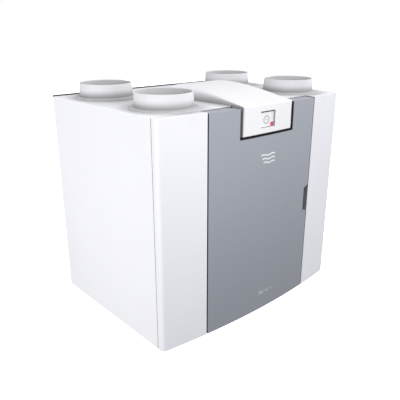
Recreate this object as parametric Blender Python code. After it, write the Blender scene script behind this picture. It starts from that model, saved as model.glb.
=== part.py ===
"""Heat recovery ventilation unit with four duct spigots, a bowed front and a filter door.

Metres, +Z up. The front faces -Y. The origin is the middle of the casing's underside.
Run with: blender --background --python part.py
"""
import math

import bmesh
import bpy
from mathutils import Matrix, Vector

# ---------------------------------------------------------------- overall sizes
WIDTH = 0.750
DEPTH = 0.560                    # back face to the crown of the bowed front
HEIGHT = 0.655                   # underside to the top plate
BOW = 0.0275                     # how far the front bows out at its middle

# ---------------------------------------------------------------- fits and sheets
GAP = 0.0003                     # between pieces that touch
SHEET = 0.0015                   # steel casing sheet
COVER_SHEET = 0.002              # front columns
CORNER_R = 0.012                 # outer front corners
EDGE_R = 0.003                   # column edges beside the door
BACK_RECESS = 0.008              # back panel stands in from the rear edges
TRIM_DEPTH = 0.006               # dark trim along the rear top edge
TRIM_RISE = 0.001
RAIL_UNDER_TOP = 0.030           # hanging rail below the casing top
RAIL_HEIGHT = 0.040
RAIL_LIP = 0.026                 # depth of the rail's hooked lip below its top
RAIL_SHARE = 0.8                 # rail's length, as a share of the width
REACH = 0.01                     # how far a cutting shape stands past what it cuts
LEAST_R = 0.001                  # smallest rounding left on an inner corner
COLUMN_STEPS = 5                 # straight pieces in a column's bowed front
DOOR_STEPS = 20                  # and in the door's

# ---------------------------------------------------------------- filter door
SEAM_TO_CORNER = 0.0213          # side seam behind the front corner
COLUMN_WIDTH = 0.1505            # side face to the column's edge by the door
DOOR_SIDE_GAP = 0.003
DOOR_BOTTOM_GAP = 0.001
DOOR_TOP_GAP = 0.003
DOOR_REAR_GAP = 0.0042           # door rear to the front frame
DOOR_SKIN = 0.0025
DOOR_CORNER_R = 0.003
NOTCH_SIDE_GAP = 0.011           # hood's side to the cutout's side
NOTCH_BOTTOM_GAP = 0.007         # hood's lower edge to the bottom of the cutout
HINGE_IN = 0.0065                # hinge axis from the door's left edge
HINGE_BACK = 0.008               # hinge axis behind the door's front
HINGE_FROM_END = 0.075           # hinge height from the casing's top and bottom
BARREL_CLEAR = 0.0004            # hinge barrel to the inside of the door's edge
BARREL_HALF = 0.009
ARM_THICK = 0.0036               # arm between the barrel and its foot
ARM_CLEAR = 0.0020               # window in the door's edge starts this far in front of the axis
PIN_R = 0.002
LUG_HALF = 0.018
LUG_WIDTH = 0.030
LUG_CLEAR = 0.0012               # lug behind the door's rounded inner corner
LUG_BACK = 0.007                 # lug's rear behind the hinge axis
LUG_NOTCH = 0.009                # lug's notch to the right of the hinge axis
FOOT_LEFT = 0.006                # bracket's foot, left and right of the hinge axis
FOOT_RIGHT = 0.009
FOOT_THICK = 0.0025
FOOT_END_IN = 0.004              # foot's ends in from the lug's
PIN_END_IN = 0.001               # pin's ends in from the lug's
ARM_END_IN = 0.0005              # arm's ends in from the barrel's
LINER_SIDE_IN = 0.036            # liner's side edges in from the door's
LINER_END_IN = 0.012
PULL_SETBACK = 0.0005            # finger pull's rim behind the door's front
STRIKER_IN = 0.012               # striker's middle from the door's edge
STRIKER_BACK = 0.009             # striker's rear in front of the door's rear
STRIKER_THICK = 0.0015
STRIKER_HALF = 0.009
STRIKER_PAST = 0.020             # striker's ends past the magnets' middles
MAGNET_HALF_WIDTH = 0.007
MAGNET_HALF_HEIGHT = 0.015
RECESS_LEVEL = 0.499             # middle of the finger recess, as a share of the height
RECESS_HEIGHT = 0.0895
RECESS_WIDTH = 0.0205
RECESS_DEPTH = 0.018
RECESS_SLANT = 0.009
RECESS_CORNER = 0.004
RECESS_WALL = 0.002

# ---------------------------------------------------------------- hood and display
HOOD_HALF_WIDTH = 0.1025
HOOD_FLARE = 0.008               # how much wider the hood's foot is at its rear
HOOD_DROP = 0.081                # hood's lower edge below the casing top
HOOD_REAR_Y = 0.014
HOOD_WALL = 0.0025
HOOD_ROUND = 0.014
HOOD_CREST = 0.0015              # crown line's start above the casing top
HOOD_RISE = 0.036                # how much higher the crown line ends
HOOD_LEVEL_AT = 0.93             # share of the hood's depth where it levels out
HOOD_RISE_POWER = 1.08           # softens the start of the rise
HOOD_LEAN = 0.004                # shoulder in from the foot at the rear
HOOD_ROUND_START = 0.3           # share of the shoulder's rounding at the front
HOOD_ROUND_MOST = 0.6            # most of the height that the rounding takes
HOOD_EDGE_R = 0.003
HOOD_EDGE_LEAST_R = 0.0005
HOOD_TOP_SETBACK = 0.0005        # upper part's start behind the front's side edge
HOOD_STATIONS = 12
HOOD_STEPS = 8
DISPLAY_X = -0.004
DISPLAY_UNDER_TOP = 0.041        # middle of the display below the casing top
DISPLAY_WIDTH = 0.061
DISPLAY_HEIGHT = 0.047
DISPLAY_RECESS = 0.005
DISPLAY_CUT = 0.012              # depth of the cutting shape for the display
SCREEN_THICK = 0.003
BEZEL_BORDER = 0.004
BEZEL_DEPTH = 0.008
BEZEL_BACK = 0.001               # bezel behind the hood's inner face
BOARD_THICK = 0.0016
CONTROL_HALF_WIDTH = 0.085       # tray for the control board
CONTROL_FRONT_Y = -0.200
CONTROL_REAR_GAP = 0.039         # tray's rear to the hood's
CONTROL_HEIGHT = 0.012
CONTROL_WALL = 0.002
CONTROL_BOARD_EDGE = 0.001       # board's edge to the tray's wall
CONTROL_BOARD_THICK = 0.0022
GLAND_RISE = 0.014
GLAND_LENGTH = 0.024
GLAND_X = -0.060
GLAND_R = 0.008

# ---------------------------------------------------------------- spigots
SPIGOT_OUT = 0.691               # spigot centres, as a share of the half width
SPIGOT_FRONT_IN = 0.1188         # front pair's centres from the front corner line
SPIGOT_REAR_IN = 0.1265          # rear pair's centres from the back face
SPIGOT_HEIGHT = 0.044
SPIGOT_BASE_R = 0.081
SPIGOT_TAPER = 0.003             # base radius less rim radius
SPIGOT_WALL = 0.003
SPIGOT_FLANGE_WIDTH = 0.0135
SPIGOT_FLANGE = 0.003
SPIGOT_TAIL = 0.010
SPIGOT_STEP = 0.002              # tube below the flange inside the outer wall
SPIGOT_HOLE_CLEAR = 0.001
FLANGE_CHAMFER = 0.001
FLANGE_DRAFT = 0.0007
FLANGE_FILLET = 0.002
GASKET = 0.001

# ---------------------------------------------------------------- air side
FOAM_WALL = 0.020
FOAM_FLOOR = 0.038
FOAM_ROOF = 0.020
FRAME_MARGIN = 0.020
FRAME_SIDE = 0.028               # frame behind the door's side edges
SEAL_WIDTH = 0.008
CHAMBER_WIDTH = 0.1973           # fan chamber with its outer wall
SIDE_GAP_SHARE = 0.885           # exchanger's corner to the bay's side, per filter thickness
EXCHANGER_HALF_FLAT = 0.055
EXCHANGER_HALF_SHARE = 0.191     # exchanger's half height, as a share of the casing's
EXCHANGER_LEVEL = 0.519          # its middle, as a share of the casing's height
FACE_COVER = 0.014               # foam covers over the exchanger's front
FILTER_THICK = 0.020
FILTER_OFF = 0.0025
FILTER_END = 0.006
PARTITION_Y = 0.005              # wall between front chambers and rear ducts
PARTITION = 0.015
TRAY_SIDE_GAP = 0.0577           # tray's side to the bay's side
TRAY_DEPTH = 0.030
TRAY_WALL = 0.003
DRAIN_R = 0.016
DRAIN_BORE_R = 0.013
DRAIN_Y = 0.060
BYPASS_LEVEL = 0.840             # as a share of the casing's height
CORE_SLOPE_LEVEL = 0.900         # top of the slopes over the exchanger
BYPASS_Y = -0.080
BYPASS_HALF = 0.030
BYPASS_LENGTH = 0.140
FLAP_CLEAR = 0.002
SHAFT_R = 0.004
CORE_CLEAR = 0.001               # filters to the foam over them
CORE_FLAT_PAST = 0.011           # foam's flat underside past the exchanger's flat top
BASE_BACK_GAP = 0.001            # floor moulding to the back wall's face
PEDESTAL_PAST = 0.002            # pedestal's side past the tray's
DUCT_WALL = 0.012                # between rear duct and exchanger
CORE_COVER = 0.030               # foam in front of the bypass channel
ACTUATOR_HALF = 0.030
ACTUATOR_DEPTH = 0.022
ACTUATOR_BACK_GAP = 0.004
ACTUATOR_CLEAR = 0.001
FLAP_HALF_THICK = 0.002
SHAFT_PAST = 0.010               # shaft's end past the bypass channel
SHAFT_FRONT_GAP = 0.0037         # shaft's front end to the pocket's rear
SLIDE_GAP = 0.001                # around what slides out of the front
STRAP_HALF_WIDTH = 0.040
STRAP_HALF_HEIGHT = 0.010
STRAP_RISE = 0.0015
STRAP_SINK = 0.002
TAB_HALF_LENGTH = 0.020
TAB_HALF_THICK = 0.001
TAB_SINK = 0.004
TRAY_END = 0.010
DRAIN_CLEAR = 0.006              # drain pipe in the base plate's hole
DRAIN_LOW = 0.0025               # pipe's lower end above the underside
SENSOR_IN = 0.050                # sensors from the casing's side
SENSOR_FORWARD = 0.030           # sensors in front of the partition
SENSOR_LENGTH = 0.050
SENSOR_R = 0.004

# ---------------------------------------------------------------- fans
FAN_IN = 0.147                   # fan axis from the casing's side
FAN_Y = -0.098
FAN_Z = 0.046
FAN_HEIGHT = 0.100
FAN_WALL = 0.0025
SCROLL_START_R = 0.090
SCROLL_END_R = 0.116
SCROLL_CUTOFF_DEG = 130
INLET_R = 0.055
IMPELLER_R = 0.082
BLADES = 7
MOTOR_R = 0.036
MOTOR_FLANGE_R = 0.050
MOTOR_FLANGE = 0.004
MOTOR_FLANGE_GAP = 0.0003        # flange under the fan's floor
MOTOR_RISE = 0.039               # motor's top above the fan's underside
AXLE_LENGTH = 0.018
AXLE_SINK = 0.001
IMPELLER_OVER = 0.003            # impeller's plate over the motor's top
IMPELLER_PLATE = 0.003
IMPELLER_HEIGHT = 0.042
HUB_R = 0.012
HUB_HEIGHT = 0.014
BLADE_INNER_R = 0.048
BLADE_THICK = 0.0025
BLADE_SWEEP = 0.9                # radians a blade leans back over its length
BLADE_END_IN = 0.0005
BLADE_STEPS = 4
SHROUD_LAP = 0.003               # shroud's inner edge inside the inlet's

# ---------------------------------------------------------------- worked-out places
FRONT_Y = -DEPTH / 2
BACK_Y = DEPTH / 2
SIDE_FRONT_Y = FRONT_Y + BOW
SEAM_Y = SIDE_FRONT_Y + SEAM_TO_CORNER
HALF_WIDTH = WIDTH / 2
COLUMN_EDGE = HALF_WIDTH - COLUMN_WIDTH
DOOR_HALF_WIDTH = COLUMN_EDGE - DOOR_SIDE_GAP
NOTCH_HALF_WIDTH = HOOD_HALF_WIDTH + NOTCH_SIDE_GAP
FRAME_Y = SEAM_Y + GAP
FRAME_BACK_Y = FRAME_Y + SHEET
DOOR_REAR_Y = SEAM_Y - DOOR_REAR_GAP
DOOR_BOTTOM = DOOR_BOTTOM_GAP
DOOR_TOP = HEIGHT - DOOR_TOP_GAP
NOTCH_Z = HEIGHT - HOOD_DROP - NOTCH_BOTTOM_GAP
RECESS_Z = HEIGHT * RECESS_LEVEL
BARREL_R = HINGE_IN - DOOR_SKIN - BARREL_CLEAR
PANEL_BACK_Y = BACK_Y - BACK_RECESS
FOAM_FRONT_Y = FRAME_BACK_Y + GAP
FOAM_BACK_Y = PANEL_BACK_Y - SHEET - GAP
FOAM_SIDE_X = HALF_WIDTH - SHEET - GAP
FOAM_BOTTOM = SHEET + GAP
FOAM_TOP = HEIGHT - SHEET - GAP
FLOOR_TOP = FOAM_BOTTOM + FOAM_FLOOR
ROOF_BOTTOM = FOAM_TOP - FOAM_ROOF
BAY_FRONT_Y = FOAM_FRONT_Y + FACE_COVER + GAP
BAY_BACK_Y = FOAM_BACK_Y - FOAM_WALL - GAP
SPIGOT_X = HALF_WIDTH * SPIGOT_OUT
SPIGOT_FRONT_Y = SIDE_FRONT_Y + SPIGOT_FRONT_IN
SPIGOT_REAR_Y = BACK_Y - SPIGOT_REAR_IN
SPIGOT_RIM_R = SPIGOT_BASE_R - SPIGOT_TAPER
SPIGOT_FLANGE_R = SPIGOT_BASE_R + SPIGOT_FLANGE_WIDTH
TUBE_R = SPIGOT_BASE_R - SPIGOT_STEP
PLATE_HOLE_R = TUBE_R + SPIGOT_HOLE_CLEAR
HOOD_BOTTOM = HEIGHT - HOOD_DROP
HOOD_FOOT = HEIGHT + GAP
DISPLAY_Z = HEIGHT - DISPLAY_UNDER_TOP
CORE_HALF_WIDTH = HALF_WIDTH - CHAMBER_WIDTH
EXCHANGER_HALF_WIDTH = CORE_HALF_WIDTH - FILTER_THICK * SIDE_GAP_SHARE
EXCHANGER_HALF_HEIGHT = HEIGHT * EXCHANGER_HALF_SHARE
EXCHANGER_Z = HEIGHT * EXCHANGER_LEVEL
EXCHANGER_BOTTOM = EXCHANGER_Z - EXCHANGER_HALF_HEIGHT
EXCHANGER_TOP = EXCHANGER_Z + EXCHANGER_HALF_HEIGHT
FILTER_SLOPE = math.atan2(EXCHANGER_HALF_HEIGHT, EXCHANGER_HALF_WIDTH - EXCHANGER_HALF_FLAT)
CORE_BOTTOM = EXCHANGER_TOP + (FILTER_OFF + FILTER_THICK) * math.cos(FILTER_SLOPE) + CORE_CLEAR
TRAY_TOP = EXCHANGER_BOTTOM - GAP
TRAY_BOTTOM = TRAY_TOP - TRAY_DEPTH
TRAY_HALF_WIDTH = CORE_HALF_WIDTH - TRAY_SIDE_GAP
BYPASS_Z = HEIGHT * BYPASS_LEVEL
CORE_SLOPE_Z = HEIGHT * CORE_SLOPE_LEVEL
FAN_X = HALF_WIDTH - FAN_IN


def front_y(x, inset=0.0):
    """The bowed front's place at x, moved in by inset."""
    return FRONT_Y + BOW * (2 * x / WIDTH) ** 2 + inset


HINGE_X = -DOOR_HALF_WIDTH + HINGE_IN
HINGE_Y = front_y(HINGE_X) + HINGE_BACK


# ---------------------------------------------------------------- materials
def material(name, colour, roughness, metallic=0.0):
    """A Principled material with one colour."""
    made = bpy.data.materials.new(name)
    made.use_nodes = True
    shader = made.node_tree.nodes["Principled BSDF"]
    shader.inputs["Base Color"].default_value = (*colour, 1.0)
    shader.inputs["Roughness"].default_value = roughness
    shader.inputs["Metallic"].default_value = metallic
    made.diffuse_color = (*colour, 1.0)
    return made


# ---------------------------------------------------------------- shape helpers
def finish(name, shape, surface=None, smooth_deg=None):
    """Turn a bmesh into an object with its faces outwards."""
    bmesh.ops.recalc_face_normals(shape, faces=shape.faces[:])
    mesh = bpy.data.meshes.new(name)
    shape.to_mesh(mesh)
    shape.free()
    made = bpy.data.objects.new(name, mesh)
    bpy.context.scene.collection.objects.link(made)
    if surface:
        mesh.materials.append(surface)
    if smooth_deg:
        mesh.shade_smooth()
        mesh.set_sharp_from_angle(angle=math.radians(smooth_deg))
    return made


def prism(name, outline, axis, low, high, surface=None, smooth_deg=None):
    """A closed outline extruded along one axis: (x, y) along Z, (x, z) along Y, (y, z) along X."""
    shape = bmesh.new()
    corners = []
    for first, second in outline:
        place = {"X": (low, first, second), "Y": (first, low, second), "Z": (first, second, low)}
        corners.append(shape.verts.new(place[axis]))
    face = shape.faces.new(corners)
    grown = bmesh.ops.extrude_face_region(shape, geom=[face])["geom"]
    moved = [item for item in grown if isinstance(item, bmesh.types.BMVert)]
    shift = Vector([(high - low) if letter == axis else 0.0 for letter in "XYZ"])
    bmesh.ops.translate(shape, verts=moved, vec=shift)
    return finish(name, shape, surface, smooth_deg)


def box(name, low, high, surface=None):
    """A plain block between two corners."""
    outline = [(low[0], low[1]), (high[0], low[1]), (high[0], high[1]), (low[0], high[1])]
    return prism(name, outline, "Z", low[2], high[2], surface)


def cylinder(name, centre, radius, length, axis="Z", surface=None, sides=24, smooth_deg=40):
    """A round bar centred on a point."""
    shape = bmesh.new()
    bmesh.ops.create_cone(shape, cap_ends=True, segments=sides, radius1=radius, radius2=radius,
                          depth=length)
    turn = {"Z": Matrix(), "Y": Matrix.Rotation(math.pi / 2, 4, "X"),
            "X": Matrix.Rotation(math.pi / 2, 4, "Y")}[axis]
    bmesh.ops.transform(shape, matrix=Matrix.Translation(centre) @ turn, verts=shape.verts[:])
    return finish(name, shape, surface, smooth_deg)


def turned(name, profile, centre, surface=None, sides=40, smooth_deg=35):
    """A ring turned about Z from a closed (radius, height) profile."""
    shape = bmesh.new()
    ring = [shape.verts.new((radius, 0.0, height)) for radius, height in profile]
    edges = [shape.edges.new((ring[i - 1], ring[i])) for i in range(len(ring))]
    bmesh.ops.spin(shape, geom=ring + edges, cent=(0, 0, 0), axis=(0, 0, 1), angle=2 * math.pi,
                   steps=sides, use_merge=True)
    bmesh.ops.remove_doubles(shape, verts=shape.verts[:], dist=1e-6)
    bmesh.ops.translate(shape, verts=shape.verts[:], vec=centre)
    return finish(name, shape, surface, smooth_deg)


def boolean(target, tool, operation="DIFFERENCE"):
    """Cut, join or intersect one object with a tool object that stays out of the model."""
    change = target.modifiers.new(operation.lower(), "BOOLEAN")
    change.operation = operation
    change.solver = "EXACT"
    change.object = tool
    tool.hide_render = True
    tool.display_type = "WIRE"
    return target


def rounded(corners, steps=4):
    """An outline whose corners (x, y, radius) are replaced by arcs."""
    outline = []
    for i, (x, y, radius) in enumerate(corners):
        here = Vector((x, y))
        if radius == 0:
            outline.append((x, y))
            continue
        before = (Vector(corners[i - 1][:2]) - here).normalized()
        after = (Vector(corners[(i + 1) % len(corners)][:2]) - here).normalized()
        half = before.angle(after) / 2
        middle = here + (before + after).normalized() * (radius / math.sin(half))
        start = here + before * (radius / math.tan(half)) - middle
        sweep = start.angle_signed(here + after * (radius / math.tan(half)) - middle)
        for step in range(steps + 1):
            turn = Matrix.Rotation(-sweep * step / steps, 2)
            outline.append(tuple(middle + turn @ start))
    return outline


def mirrored(outline, side):
    """The outline itself for side +1, and its mirror image in x for side -1."""
    return [(side * first, second) for first, second in outline]


def pivot(name, place):
    """An empty on a joint's axis."""
    made = bpy.data.objects.new(name, None)
    made.location = place
    bpy.context.scene.collection.objects.link(made)
    bpy.context.view_layer.update()
    return made


def ride(pieces, carrier):
    """Parent the pieces to a pivot without moving them."""
    for piece in pieces:
        piece.parent = carrier
        piece.matrix_parent_inverse = carrier.matrix_world.inverted()


SIDES = {"left": -1, "right": 1}


# ---------------------------------------------------------------- casing
def build_casing(m):
    box("base_plate", (-HALF_WIDTH, FRAME_Y, 0), (HALF_WIDTH, BACK_Y, SHEET), m["white"])
    boolean(bpy.data.objects["base_plate"],
            cylinder("cut_base_drain", (0, DRAIN_Y, 0), DRAIN_R + DRAIN_CLEAR, 2 * REACH))
    for side, sign in SIDES.items():
        inner = sign * (HALF_WIDTH - SHEET)
        outer = sign * HALF_WIDTH
        box("side_panel_" + side, (min(inner, outer), FRAME_Y, SHEET + GAP),
            (max(inner, outer), BACK_Y, HEIGHT - SHEET - GAP), m["white"])
    inside = HALF_WIDTH - SHEET - GAP
    box("back_panel", (-inside, PANEL_BACK_Y - SHEET, SHEET + GAP),
        (inside, PANEL_BACK_Y, HEIGHT - SHEET - GAP), m["galvanised"])
    top_rear = BACK_Y - TRIM_DEPTH - GAP
    plate = box("top_plate", (-HALF_WIDTH, FRAME_Y, HEIGHT - SHEET),
                (HALF_WIDTH, top_rear, HEIGHT), m["white"])
    for tag, x, y in spigot_places():
        boolean(plate, cylinder("cut_plate_" + tag, (x, y, HEIGHT), PLATE_HOLE_R,
                                2 * REACH, sides=40))
    box("rear_trim", (-HALF_WIDTH, BACK_Y - TRIM_DEPTH, HEIGHT - SHEET),
        (HALF_WIDTH, BACK_Y, HEIGHT + TRIM_RISE), m["rubber"])
    rail_top = HEIGHT - RAIL_UNDER_TOP
    rail = [(PANEL_BACK_Y + GAP, rail_top), (PANEL_BACK_Y + GAP, rail_top - RAIL_HEIGHT),
            (PANEL_BACK_Y + GAP + SHEET, rail_top - RAIL_HEIGHT),
            (PANEL_BACK_Y + GAP + SHEET, rail_top - SHEET), (BACK_Y - SHEET, rail_top - SHEET),
            (BACK_Y - SHEET, rail_top - RAIL_LIP), (BACK_Y, rail_top - RAIL_LIP),
            (BACK_Y, rail_top)]
    prism("hanging_rail", rail, "X", -HALF_WIDTH * RAIL_SHARE, HALF_WIDTH * RAIL_SHARE, m["galvanised"])


def build_front_frame(m):
    inside = HALF_WIDTH - SHEET - GAP
    frame = box("front_frame", (-inside, FRAME_Y, SHEET + GAP),
                (inside, FRAME_BACK_Y, HEIGHT - SHEET - GAP), m["galvanised"])
    opening = box("cut_frame", (-DOOR_HALF_WIDTH + FRAME_SIDE, FRAME_Y - REACH, FRAME_MARGIN),
                  (DOOR_HALF_WIDTH - FRAME_SIDE, FRAME_BACK_Y + REACH, HEIGHT - FRAME_MARGIN))
    boolean(frame, opening)
    half = DOOR_HALF_WIDTH - FRAME_SIDE
    seal = box("door_seal", (-half - SEAL_WIDTH, DOOR_REAR_Y + GAP, FRAME_MARGIN - SEAL_WIDTH),
               (half + SEAL_WIDTH, FRAME_Y - GAP, HEIGHT - FRAME_MARGIN + SEAL_WIDTH), m["rubber"])
    boolean(seal, box("cut_seal", (-half, DOOR_REAR_Y - REACH, FRAME_MARGIN),
                      (half, FRAME_Y + REACH, HEIGHT - FRAME_MARGIN)))


def column_outline(inset, rear_y, sign):
    """Plan of a front column: side, rounded corner, bowed front and the edge by the door."""
    outer = HALF_WIDTH - inset
    inner = COLUMN_EDGE + inset
    corners = [(outer, rear_y, 0), (outer, front_y(outer, inset), CORNER_R - inset)]
    for step in range(1, COLUMN_STEPS):
        x = outer + (inner - outer) * step / COLUMN_STEPS
        corners.append((x, front_y(x, inset), 0))
    corners += [(inner, front_y(inner, inset), EDGE_R - inset), (inner, rear_y, 0)]
    return mirrored(rounded(corners), sign)


def build_columns(m):
    for side, sign in SIDES.items():
        shell = prism("front_column_" + side, column_outline(0.0, SEAM_Y, sign), "Z", 0, HEIGHT,
                      m["white"], 30)
        hollow = prism("cut_column_" + side, column_outline(COVER_SHEET, SEAM_Y + REACH, sign),
                       "Z", COVER_SHEET, HEIGHT - COVER_SHEET)
        boolean(shell, hollow)


# ---------------------------------------------------------------- spigots
def spigot_places():
    """Name, x and y of the four duct connections."""
    places = []
    for row, y in {"front": SPIGOT_FRONT_Y, "rear": SPIGOT_REAR_Y}.items():
        for side, sign in SIDES.items():
            places.append((row + "_" + side, sign * SPIGOT_X, y))
    return places


def build_spigots(m):
    flange = HEIGHT + GAP + GASKET + GAP
    rim = HEIGHT + SPIGOT_HEIGHT
    lip = SPIGOT_WALL / 2
    profile = [(TUBE_R - SPIGOT_WALL, HEIGHT - SPIGOT_TAIL), (TUBE_R, HEIGHT - SPIGOT_TAIL),
               (TUBE_R, flange), (SPIGOT_FLANGE_R - FLANGE_CHAMFER, flange),
               (SPIGOT_FLANGE_R, flange + FLANGE_CHAMFER),
               (SPIGOT_FLANGE_R - FLANGE_DRAFT, flange + SPIGOT_FLANGE),
               (SPIGOT_BASE_R + FLANGE_FILLET, flange + SPIGOT_FLANGE),
               (SPIGOT_BASE_R, flange + SPIGOT_FLANGE + FLANGE_FILLET)]
    for step in range(5):
        turn = math.radians(45 * step)
        profile.append((SPIGOT_RIM_R - lip + lip * math.cos(turn), rim - lip + lip * math.sin(turn)))
    for tag, x, y in spigot_places():
        turned("spigot_" + tag, profile, (x, y, 0), m["spigot"])
        ring = [(PLATE_HOLE_R + GAP, HEIGHT + GAP), (SPIGOT_FLANGE_R - FLANGE_CHAMFER, HEIGHT + GAP),
                (SPIGOT_FLANGE_R - FLANGE_CHAMFER, HEIGHT + GAP + GASKET),
                (PLATE_HOLE_R + GAP, HEIGHT + GAP + GASKET)]
        turned("gasket_" + tag, ring, (x, y, 0), m["foam_seal"], sides=32)


# ---------------------------------------------------------------- filter door
def door_body(name, side_in, end_in, notch_in, front_in, rear_y, surface=None):
    """The door's outline with its margins, bowed at the front and flat at the rear."""
    half = DOOR_HALF_WIDTH - side_in
    low = DOOR_BOTTOM + end_in
    high = DOOR_TOP - end_in
    notch = NOTCH_HALF_WIDTH + notch_in
    floor = NOTCH_Z - notch_in
    face = [(-half, low), (half, low), (half, high), (notch, high), (notch, floor),
            (-notch, floor), (-notch, high), (-half, high)]
    made = prism(name, face, "Y", FRONT_Y - REACH, rear_y, surface, 30)
    plan = [(half, BACK_Y, 0), (-half, BACK_Y, 0)]
    for step in range(DOOR_STEPS + 1):
        x = -half + 2 * half * step / DOOR_STEPS
        radius = max(DOOR_CORNER_R - front_in, LEAST_R) if step in (0, DOOR_STEPS) else 0
        plan.append((x, front_y(x, front_in), radius))
    bow = prism("shape_" + name, rounded(plan), "Z", -REACH, HEIGHT + REACH)
    return boolean(made, bow, "INTERSECT")


def recess_outline(grow, reach):
    """Front outline (x, z) of the finger recess, slanted at its top and bottom."""
    inner = DOOR_HALF_WIDTH - RECESS_WIDTH - grow
    low = RECESS_Z - RECESS_HEIGHT / 2 - grow
    fall = RECESS_SLANT / RECESS_WIDTH
    high = RECESS_Z + RECESS_HEIGHT / 2 + grow * math.hypot(1, fall)
    return [(reach, low), (inner + RECESS_CORNER, low), (inner, low + RECESS_CORNER),
            (inner, high - fall * (DOOR_HALF_WIDTH - inner)),
            (reach, high - fall * (DOOR_HALF_WIDTH - reach))]


def build_door(m):
    door = door_body("filter_door", 0, 0, 0, 0, DOOR_REAR_Y, m["door"])
    hollow = door_body("cut_door", DOOR_SKIN, DOOR_SKIN, DOOR_SKIN, DOOR_SKIN,
                       DOOR_REAR_Y + REACH)
    boolean(door, hollow)
    edge = DOOR_HALF_WIDTH
    deepest = front_y(edge) + RECESS_DEPTH + RECESS_WALL
    boolean(door, prism("cut_recess", recess_outline(RECESS_WALL + GAP, edge + REACH), "Y",
                        FRONT_Y - REACH, deepest + GAP))
    pull = prism("finger_pull", recess_outline(RECESS_WALL, edge - GAP), "Y",
                 front_y(edge) + PULL_SETBACK, deepest, m["grip"])
    boolean(pull, prism("cut_pull", recess_outline(0, edge + REACH), "Y", FRONT_Y - REACH,
                        deepest - RECESS_WALL))
    liner = door_body("door_liner", LINER_SIDE_IN, LINER_END_IN, LINER_END_IN, DOOR_SKIN + GAP,
                      DOOR_REAR_Y, m["epp"])
    moving = [door, pull, liner]
    for level, z in hinge_levels().items():
        window = box("cut_window_" + level, (-edge - REACH, HINGE_Y - ARM_CLEAR, z - LUG_HALF),
                     (-edge + DOOR_SKIN + LEAST_R, BACK_Y, z + LUG_HALF))
        boolean(door, window)
        moving += build_hinge(level, z, m)
    ride(moving, pivot("door_pivot", (HINGE_X, HINGE_Y, HEIGHT / 2)))


def hinge_levels():
    """Heights of the two hinges."""
    return {"upper": HEIGHT - HINGE_FROM_END, "lower": HINGE_FROM_END}


def build_hinge(level, z, m):
    """A bracket with its pin on the frame, and the lug that turns with the door."""
    bracket = cylinder("hinge_bracket_" + level, (HINGE_X, HINGE_Y, z), BARREL_R, 2 * BARREL_HALF,
                       "Z", m["steel"], sides=20)
    boolean(bracket, box("add_arm_" + level, (HINGE_X, HINGE_Y, z - BARREL_HALF + ARM_END_IN),
                         (HINGE_X + ARM_THICK, SEAM_Y - SHEET, z + BARREL_HALF - ARM_END_IN)), "UNION")
    boolean(bracket, box("add_foot_" + level,
                         (HINGE_X - FOOT_LEFT, SEAM_Y - FOOT_THICK, z - LUG_HALF + FOOT_END_IN),
                         (HINGE_X + FOOT_RIGHT, SEAM_Y, z + LUG_HALF - FOOT_END_IN)), "UNION")
    boolean(bracket, cylinder("add_pin_" + level, (HINGE_X, HINGE_Y, z), PIN_R,
                              2 * (LUG_HALF - PIN_END_IN), sides=16), "UNION")
    left = -DOOR_HALF_WIDTH + DOOR_SKIN + GAP
    front = front_y(left) + DOOR_SKIN + LUG_CLEAR
    lug = box("hinge_lug_" + level, (left, front, z - LUG_HALF + GAP),
              (left + LUG_WIDTH, HINGE_Y + LUG_BACK, z + LUG_HALF - GAP), m["grip"])
    space = BARREL_HALF + GAP
    boolean(lug, box("cut_lug_" + level, (left - REACH, front - REACH, z - space),
                     (HINGE_X + LUG_NOTCH, HINGE_Y + LUG_BACK + REACH, z + space)))
    boolean(lug, cylinder("cut_pin_" + level, (HINGE_X, HINGE_Y, z), PIN_R + GAP,
                          2 * (LUG_HALF + REACH)))
    return [lug]


def build_magnets(m):
    """Door magnets on the frame and the striker strip on the door."""
    striker_y = DOOR_REAR_Y - STRIKER_BACK
    x = DOOR_HALF_WIDTH - STRIKER_IN
    levels = hinge_levels()
    for level, z in levels.items():
        box("door_magnet_" + level, (x - MAGNET_HALF_WIDTH, striker_y + GAP, z - MAGNET_HALF_HEIGHT),
            (x + MAGNET_HALF_WIDTH, SEAM_Y, z + MAGNET_HALF_HEIGHT), m["grip"])
    striker = box("door_striker",
                  (x - STRIKER_HALF, striker_y - STRIKER_THICK, levels["lower"] - STRIKER_PAST),
                  (x + STRIKER_HALF, striker_y, levels["upper"] + STRIKER_PAST), m["steel"])
    ride([striker], bpy.data.objects["door_pivot"])


# ---------------------------------------------------------------- hood and display
def hood_top(y):
    """Height of the hood's crown line: it rises from the front and levels out at the rear."""
    front = front_y(0)
    along = (y - front) / (HOOD_REAR_Y - front)
    turn = min(along / HOOD_LEVEL_AT, 1.0) * math.pi / 2
    return HEIGHT + HOOD_CREST + HOOD_RISE * math.sin(turn) ** HOOD_RISE_POWER


def hood_section(y, inset):
    """Half-round-shouldered section (x, z) of the hood above the casing top."""
    front = front_y(0)
    along = max((y - front) / (HOOD_REAR_Y - front), 0)
    foot = HOOD_HALF_WIDTH + HOOD_FLARE * along - inset
    crown = hood_top(y) - inset
    shoulder = foot - HOOD_LEAN * along
    radius = min(HOOD_ROUND * (HOOD_ROUND_START + along), (crown - HOOD_FOOT) * HOOD_ROUND_MOST)
    radius = max(radius - inset, LEAST_R)
    low = HOOD_FOOT - (REACH if inset else 0.0)
    corners = [(foot, low, 0), (shoulder, crown, radius), (-shoulder, crown, radius), (-foot, low, 0)]
    return rounded(corners, 5)


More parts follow.
